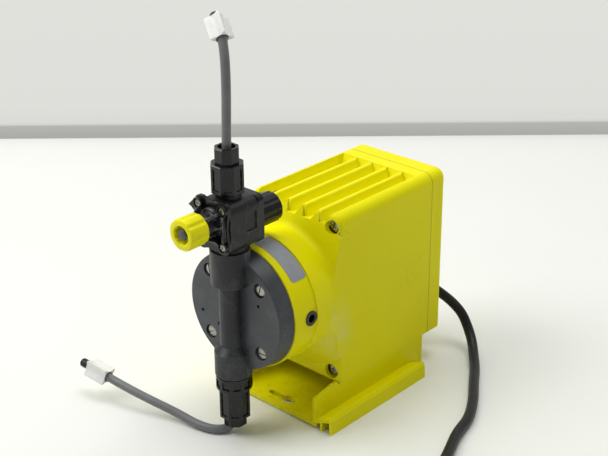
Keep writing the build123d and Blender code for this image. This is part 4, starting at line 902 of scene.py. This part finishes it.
# Webs of the front plate, with their heights counted from VALVE_PLATE_Y towards the front
WEB_THICK, WALL_THICK, EAR_THICK = 2.1, 1.5, 3.6
WEB_LOW = 2.6
WALL_X = 12.6
EAR_Y = -94.3


def slab(bm, outline, place, thickness):
    """Flat plate of a given outline with both faces, in millimetres."""
    lower = [bm.verts.new(place @ (Vector((x, y, -thickness / 2)) * MM)) for x, y in outline]
    upper = [bm.verts.new(place @ (Vector((x, y, thickness / 2)) * MM)) for x, y in outline]
    bridge(bm, [lower, upper])


def plate_webs():
    """Trumpet round the spring tube, its four corner webs, and a wall and a level web on either side."""
    bm = bmesh.new()
    lathe(bm, (
        (7.6, 13.6), (8.4, 13.6), (8.6, 13.1), (8.6, 8.6), (8.8, 6.0),
        (9.5, 4.6), (10.6, 3.8), (10.6, WEB_LOW), (7.6, WEB_LOW), (7.6, 13.6),
    ), Matrix.Translation(Vector((0, VALVE_PLATE_Y, VALVE_Z)) * MM) @ basis(FRONT), 72)

    for corner_x in (-PLATE_SCREW_X, PLATE_SCREW_X):
        for corner_z in FRONT_SCREWS_Z:
            outward = Vector((corner_x, 0, corner_z - VALVE_Z))
            reach = outward.length - 3.4
            outward.normalize()
            forward = Vector((0, -1, 0))
            normal = outward.cross(forward)
            place = Matrix((
                (outward.x, forward.x, normal.x, 0),
                (outward.y, forward.y, normal.y, VALVE_PLATE_Y * MM),
                (outward.z, forward.z, normal.z, VALVE_Z * MM),
                (0, 0, 0, 1),
            ))
            slab(bm, [
                (7.7, WEB_LOW), (7.7, 13.4), (9.9, 13.2), (10.9, 11.8), (11.9, 9.9), (13.0, 8.5),
                (reach, 7.6), (reach + 0.8, 6.8), (reach + 0.8, WEB_LOW),
            ], place, WEB_THICK)

    for side in (-1, 1):
        place = Matrix((
            (0, 0, 1, side * WALL_X * MM),
            (0, -1, 0, VALVE_PLATE_Y * MM),
            (1, 0, 0, VALVE_Z * MM),
            (0, 0, 0, 1),
        ))
        slab(bm, [
            (-10.5, WEB_LOW), (-10.5, 5.6), (-5.0, 6.0), (4.5, 6.0), (8.0, 5.6), (8.0, WEB_LOW),
        ], place, WALL_THICK)
        place = Matrix((
            (side, 0, 0, 0),
            (0, -1, 0, VALVE_PLATE_Y * MM),
            (0, 0, side, VALVE_Z * MM),
            (0, 0, 0, 1),
        ))
        slab(bm, [
            (7.7, WEB_LOW), (7.7, 12.0), (9.2, 11.2), (10.2, 8.0), (11.8, 6.0),
            (WALL_X, 5.6), (WALL_X, WEB_LOW),
        ], place, WALL_THICK)
    add_piece("plate_webs", finish_mesh(bm, "plate_webs"), "black_plastic", finish="dusty_black")


plate_webs()


def plate_ear():
    """Ear at the upper left corner of the front plate."""
    bm = bmesh.new()
    ear_place = Matrix(((1, 0, 0, 0), (0, 0, -1, EAR_Y * MM), (0, 1, 0, 0), (0, 0, 0, 1)))
    slab(bm, [
        (-11.0, 185.2), (-14.6, 184.0), (-17.6, 181.2), (-21.4, 177.6),
        (-18.0, 177.2), (-15.6, 175.2), (-14.4, 172.0), (-12.4, 171.4),
    ], ear_place, EAR_THICK)
    bmesh.ops.bevel(bm, geom=bm.edges[:], offset=0.35 * MM, segments=2, affect="EDGES")
    add_piece("plate_ear", finish_mesh(bm, "plate_ear"), "black_plastic", finish="dusty_black")


plate_ear()

# Nameplate: how far it goes round the neck, its width, corners and front edge, and its radii
LABEL_DEGREES, LABEL_STEPS = 54.0, 54
LABEL_WIDE, LABEL_ROUND, LABEL_FRONT_Y = 14.5, 2.4, -58.0
LABEL_BACK, LABEL_FACE = 46.32, 46.56
LABEL_MIDDLE = 46.45


def name_blank():
    """Bare nameplate with rounded corners, wrapped on the neck."""
    degree = math.pi * LABEL_MIDDLE / 180
    bm = bmesh.new()
    rows = []
    for step in range(LABEL_STEPS + 1):
        along = step * LABEL_DEGREES / LABEL_STEPS
        edge = min(along, LABEL_DEGREES - along) * degree
        inset = 0.0
        if edge < LABEL_ROUND:
            inset = LABEL_ROUND - math.sqrt(max(0.0, LABEL_ROUND ** 2 - (LABEL_ROUND - edge) ** 2))
        angle = math.radians(along)
        row = []
        for side in (inset, LABEL_WIDE - inset):
            for radius in (LABEL_BACK, LABEL_FACE):
                row.append(bm.verts.new(Vector((
                    radius * math.sin(angle), LABEL_FRONT_Y + side, DRIVE_Z + radius * math.cos(angle),
                )) * MM))
        rows.append(row)
    for first, second in zip(rows, rows[1:]):
        for a, b in ((1, 3), (3, 2), (2, 0), (0, 1)):
            bm.faces.new((first[a], first[b], second[b], second[a]))
    for row in (rows[0], rows[-1]):
        bm.faces.new((row[0], row[1], row[3], row[2]))
    add_piece("name_blank", finish_mesh(bm, "name_blank"), "label_grey", replaces=("label_plate",), smooth=40)


name_blank()

FIRST_GROOVE_X, GROOVE_PITCH, GROOVES = -35.5, 14.7, 5
CREST_TOP, CREST_FOOT = 159.5, 150.6


def groove_crests():
    """Thick crests with a sloping flank between the cooling grooves."""
    bm = bmesh.new()
    for index in range(1, GROOVES):
        left = FIRST_GROOVE_X + index * GROOVE_PITCH
        sections = []
        for y, drop in ((-14.6, 1.6), (-13.4, 0.3), (-11.0, 0.0), (76.0, 0.0)):
            sections.append([
                bm.verts.new(Vector((left + x, y, z)) * MM)
                for x, z in (
                    (-1.5, CREST_TOP - 0.5 - drop), (-1.0, CREST_TOP - drop), (1.2, CREST_TOP - drop),
                    (1.9, CREST_TOP - 0.5 - drop), (4.4, CREST_FOOT), (0.2, CREST_FOOT),
                )
            ])
        bridge(bm, sections)
    add_piece("groove_crests", finish_mesh(bm, "groove_crests"), "yellow", smooth=30)


groove_crests()


# --------------------------------------------------------------------------
# Table, backdrop and light
# --------------------------------------------------------------------------
def stage_material(name, base, mottle):
    """Plain, slightly mottled sheet for the table."""
    p = Paint(name, roughness=0.55)
    tone = p.noise(3.0, 4.0)
    p.colour(base, (p.ramp(tone, 0.35, 0.7), mottle))
    p.bump(p.noise(60.0, 3.0), 0.02, 0.0002)
    return p.mat


def flat_stage(name, corners, material):
    """Four-cornered sheet that belongs to the picture and not to the pump."""
    mesh = bpy.data.meshes.new(name)
    mesh.from_pydata([tuple(corner) for corner in corners], [], [(0, 1, 2, 3)])
    mesh.materials.append(material)
    thing = bpy.data.objects.new(name, mesh)
    bpy.context.scene.collection.objects.link(thing)


flat_stage(
    "table", [(-5, -5, 0), (5, -5, 0), (5, 5, 0), (-5, 5, 0)],
    stage_material("table_white", (0.86, 0.865, 0.83), (0.83, 0.835, 0.80)),
)


def backdrop_material():
    """Even glow that darkens to a strip at the foot, and that lets light through from behind."""
    material = bpy.data.materials.new("backdrop")
    material.use_nodes = True
    tree = material.node_tree
    tree.nodes.clear()
    output = tree.nodes.new("ShaderNodeOutputMaterial")
    spot = tree.nodes.new("ShaderNodeTexCoord")
    split = tree.nodes.new("ShaderNodeSeparateXYZ")
    tree.links.new(spot.outputs["Object"], split.inputs["Vector"])
    shade = tree.nodes.new("ShaderNodeValToRGB")
    shade.color_ramp.elements[0].position = 0.0
    shade.color_ramp.elements[0].color = (0.40, 0.405, 0.385, 1)
    shade.color_ramp.elements[1].position = 0.024
    shade.color_ramp.elements[1].color = (0.46, 0.465, 0.445, 1)
    for position, tone in ((0.028, 0.70), (0.06, 0.735), (0.4, 0.76), (1.0, 0.70)):
        element = shade.color_ramp.elements.new(position)
        element.color = (tone, tone * 1.005, tone * 0.955, 1)
    scaled = tree.nodes.new("ShaderNodeMath")
    scaled.operation = "MULTIPLY"
    scaled.inputs[1].default_value = 1.6
    tree.links.new(split.outputs["Z"], scaled.inputs[0])
    tree.links.new(scaled.outputs[0], shade.inputs["Fac"])
    glow = tree.nodes.new("ShaderNodeEmission")
    tree.links.new(shade.outputs["Color"], glow.inputs["Color"])
    clear = tree.nodes.new("ShaderNodeBsdfTransparent")
    surface = tree.nodes.new("ShaderNodeNewGeometry")
    choose = tree.nodes.new("ShaderNodeMixShader")
    tree.links.new(surface.outputs["Backfacing"], choose.inputs["Fac"])
    tree.links.new(glow.outputs["Emission"], choose.inputs[1])
    tree.links.new(clear.outputs["BSDF"], choose.inputs[2])
    tree.links.new(choose.outputs["Shader"], output.inputs["Surface"])
    return material


BACKDROP_AWAY = 1.40
ahead = Vector((-back.x, -back.y, 0)).normalized()
across = Vector((-ahead.y, ahead.x, 0)) * 4
foot = Vector((camera.location.x, camera.location.y, 0)) + ahead * BACKDROP_AWAY
rise = Vector((0, 0, 3.0))
flat_stage(
    "backdrop",
    [foot + across, foot - across, foot - across + rise, foot + across + rise],
    backdrop_material(),
)

world = bpy.data.worlds.new("world")
bpy.context.scene.world = world
world.use_nodes = True
sky = world.node_tree.nodes["Background"]
sky.inputs["Color"].default_value = (0.97, 0.985, 1.0, 1)
sky.inputs["Strength"].default_value = 0.265


def area_light(name, place, target, size, power):
    """Rectangular lamp at a place, turned towards its target."""
    data = bpy.data.lights.new(name, "AREA")
    data.shape = "RECTANGLE"
    data.size, data.size_y = size
    data.energy = power
    lamp = bpy.data.objects.new(name, data)
    bpy.context.scene.collection.objects.link(lamp)
    lamp.location = place
    lamp.rotation_mode = "QUATERNION"
    lamp.rotation_quaternion = (Vector(target) - Vector(place)).to_track_quat("-Z", "Y")


area_light("key", (-0.85, -0.92, 1.55), (0, 0, 0.08), (1.0, 1.0), 18.5)
area_light("top", (-0.1, 0.4, 2.0), (0, 0, 0.1), (1.4, 1.4), 27.0)

bpy.context.scene.view_settings.view_transform = "Standard"
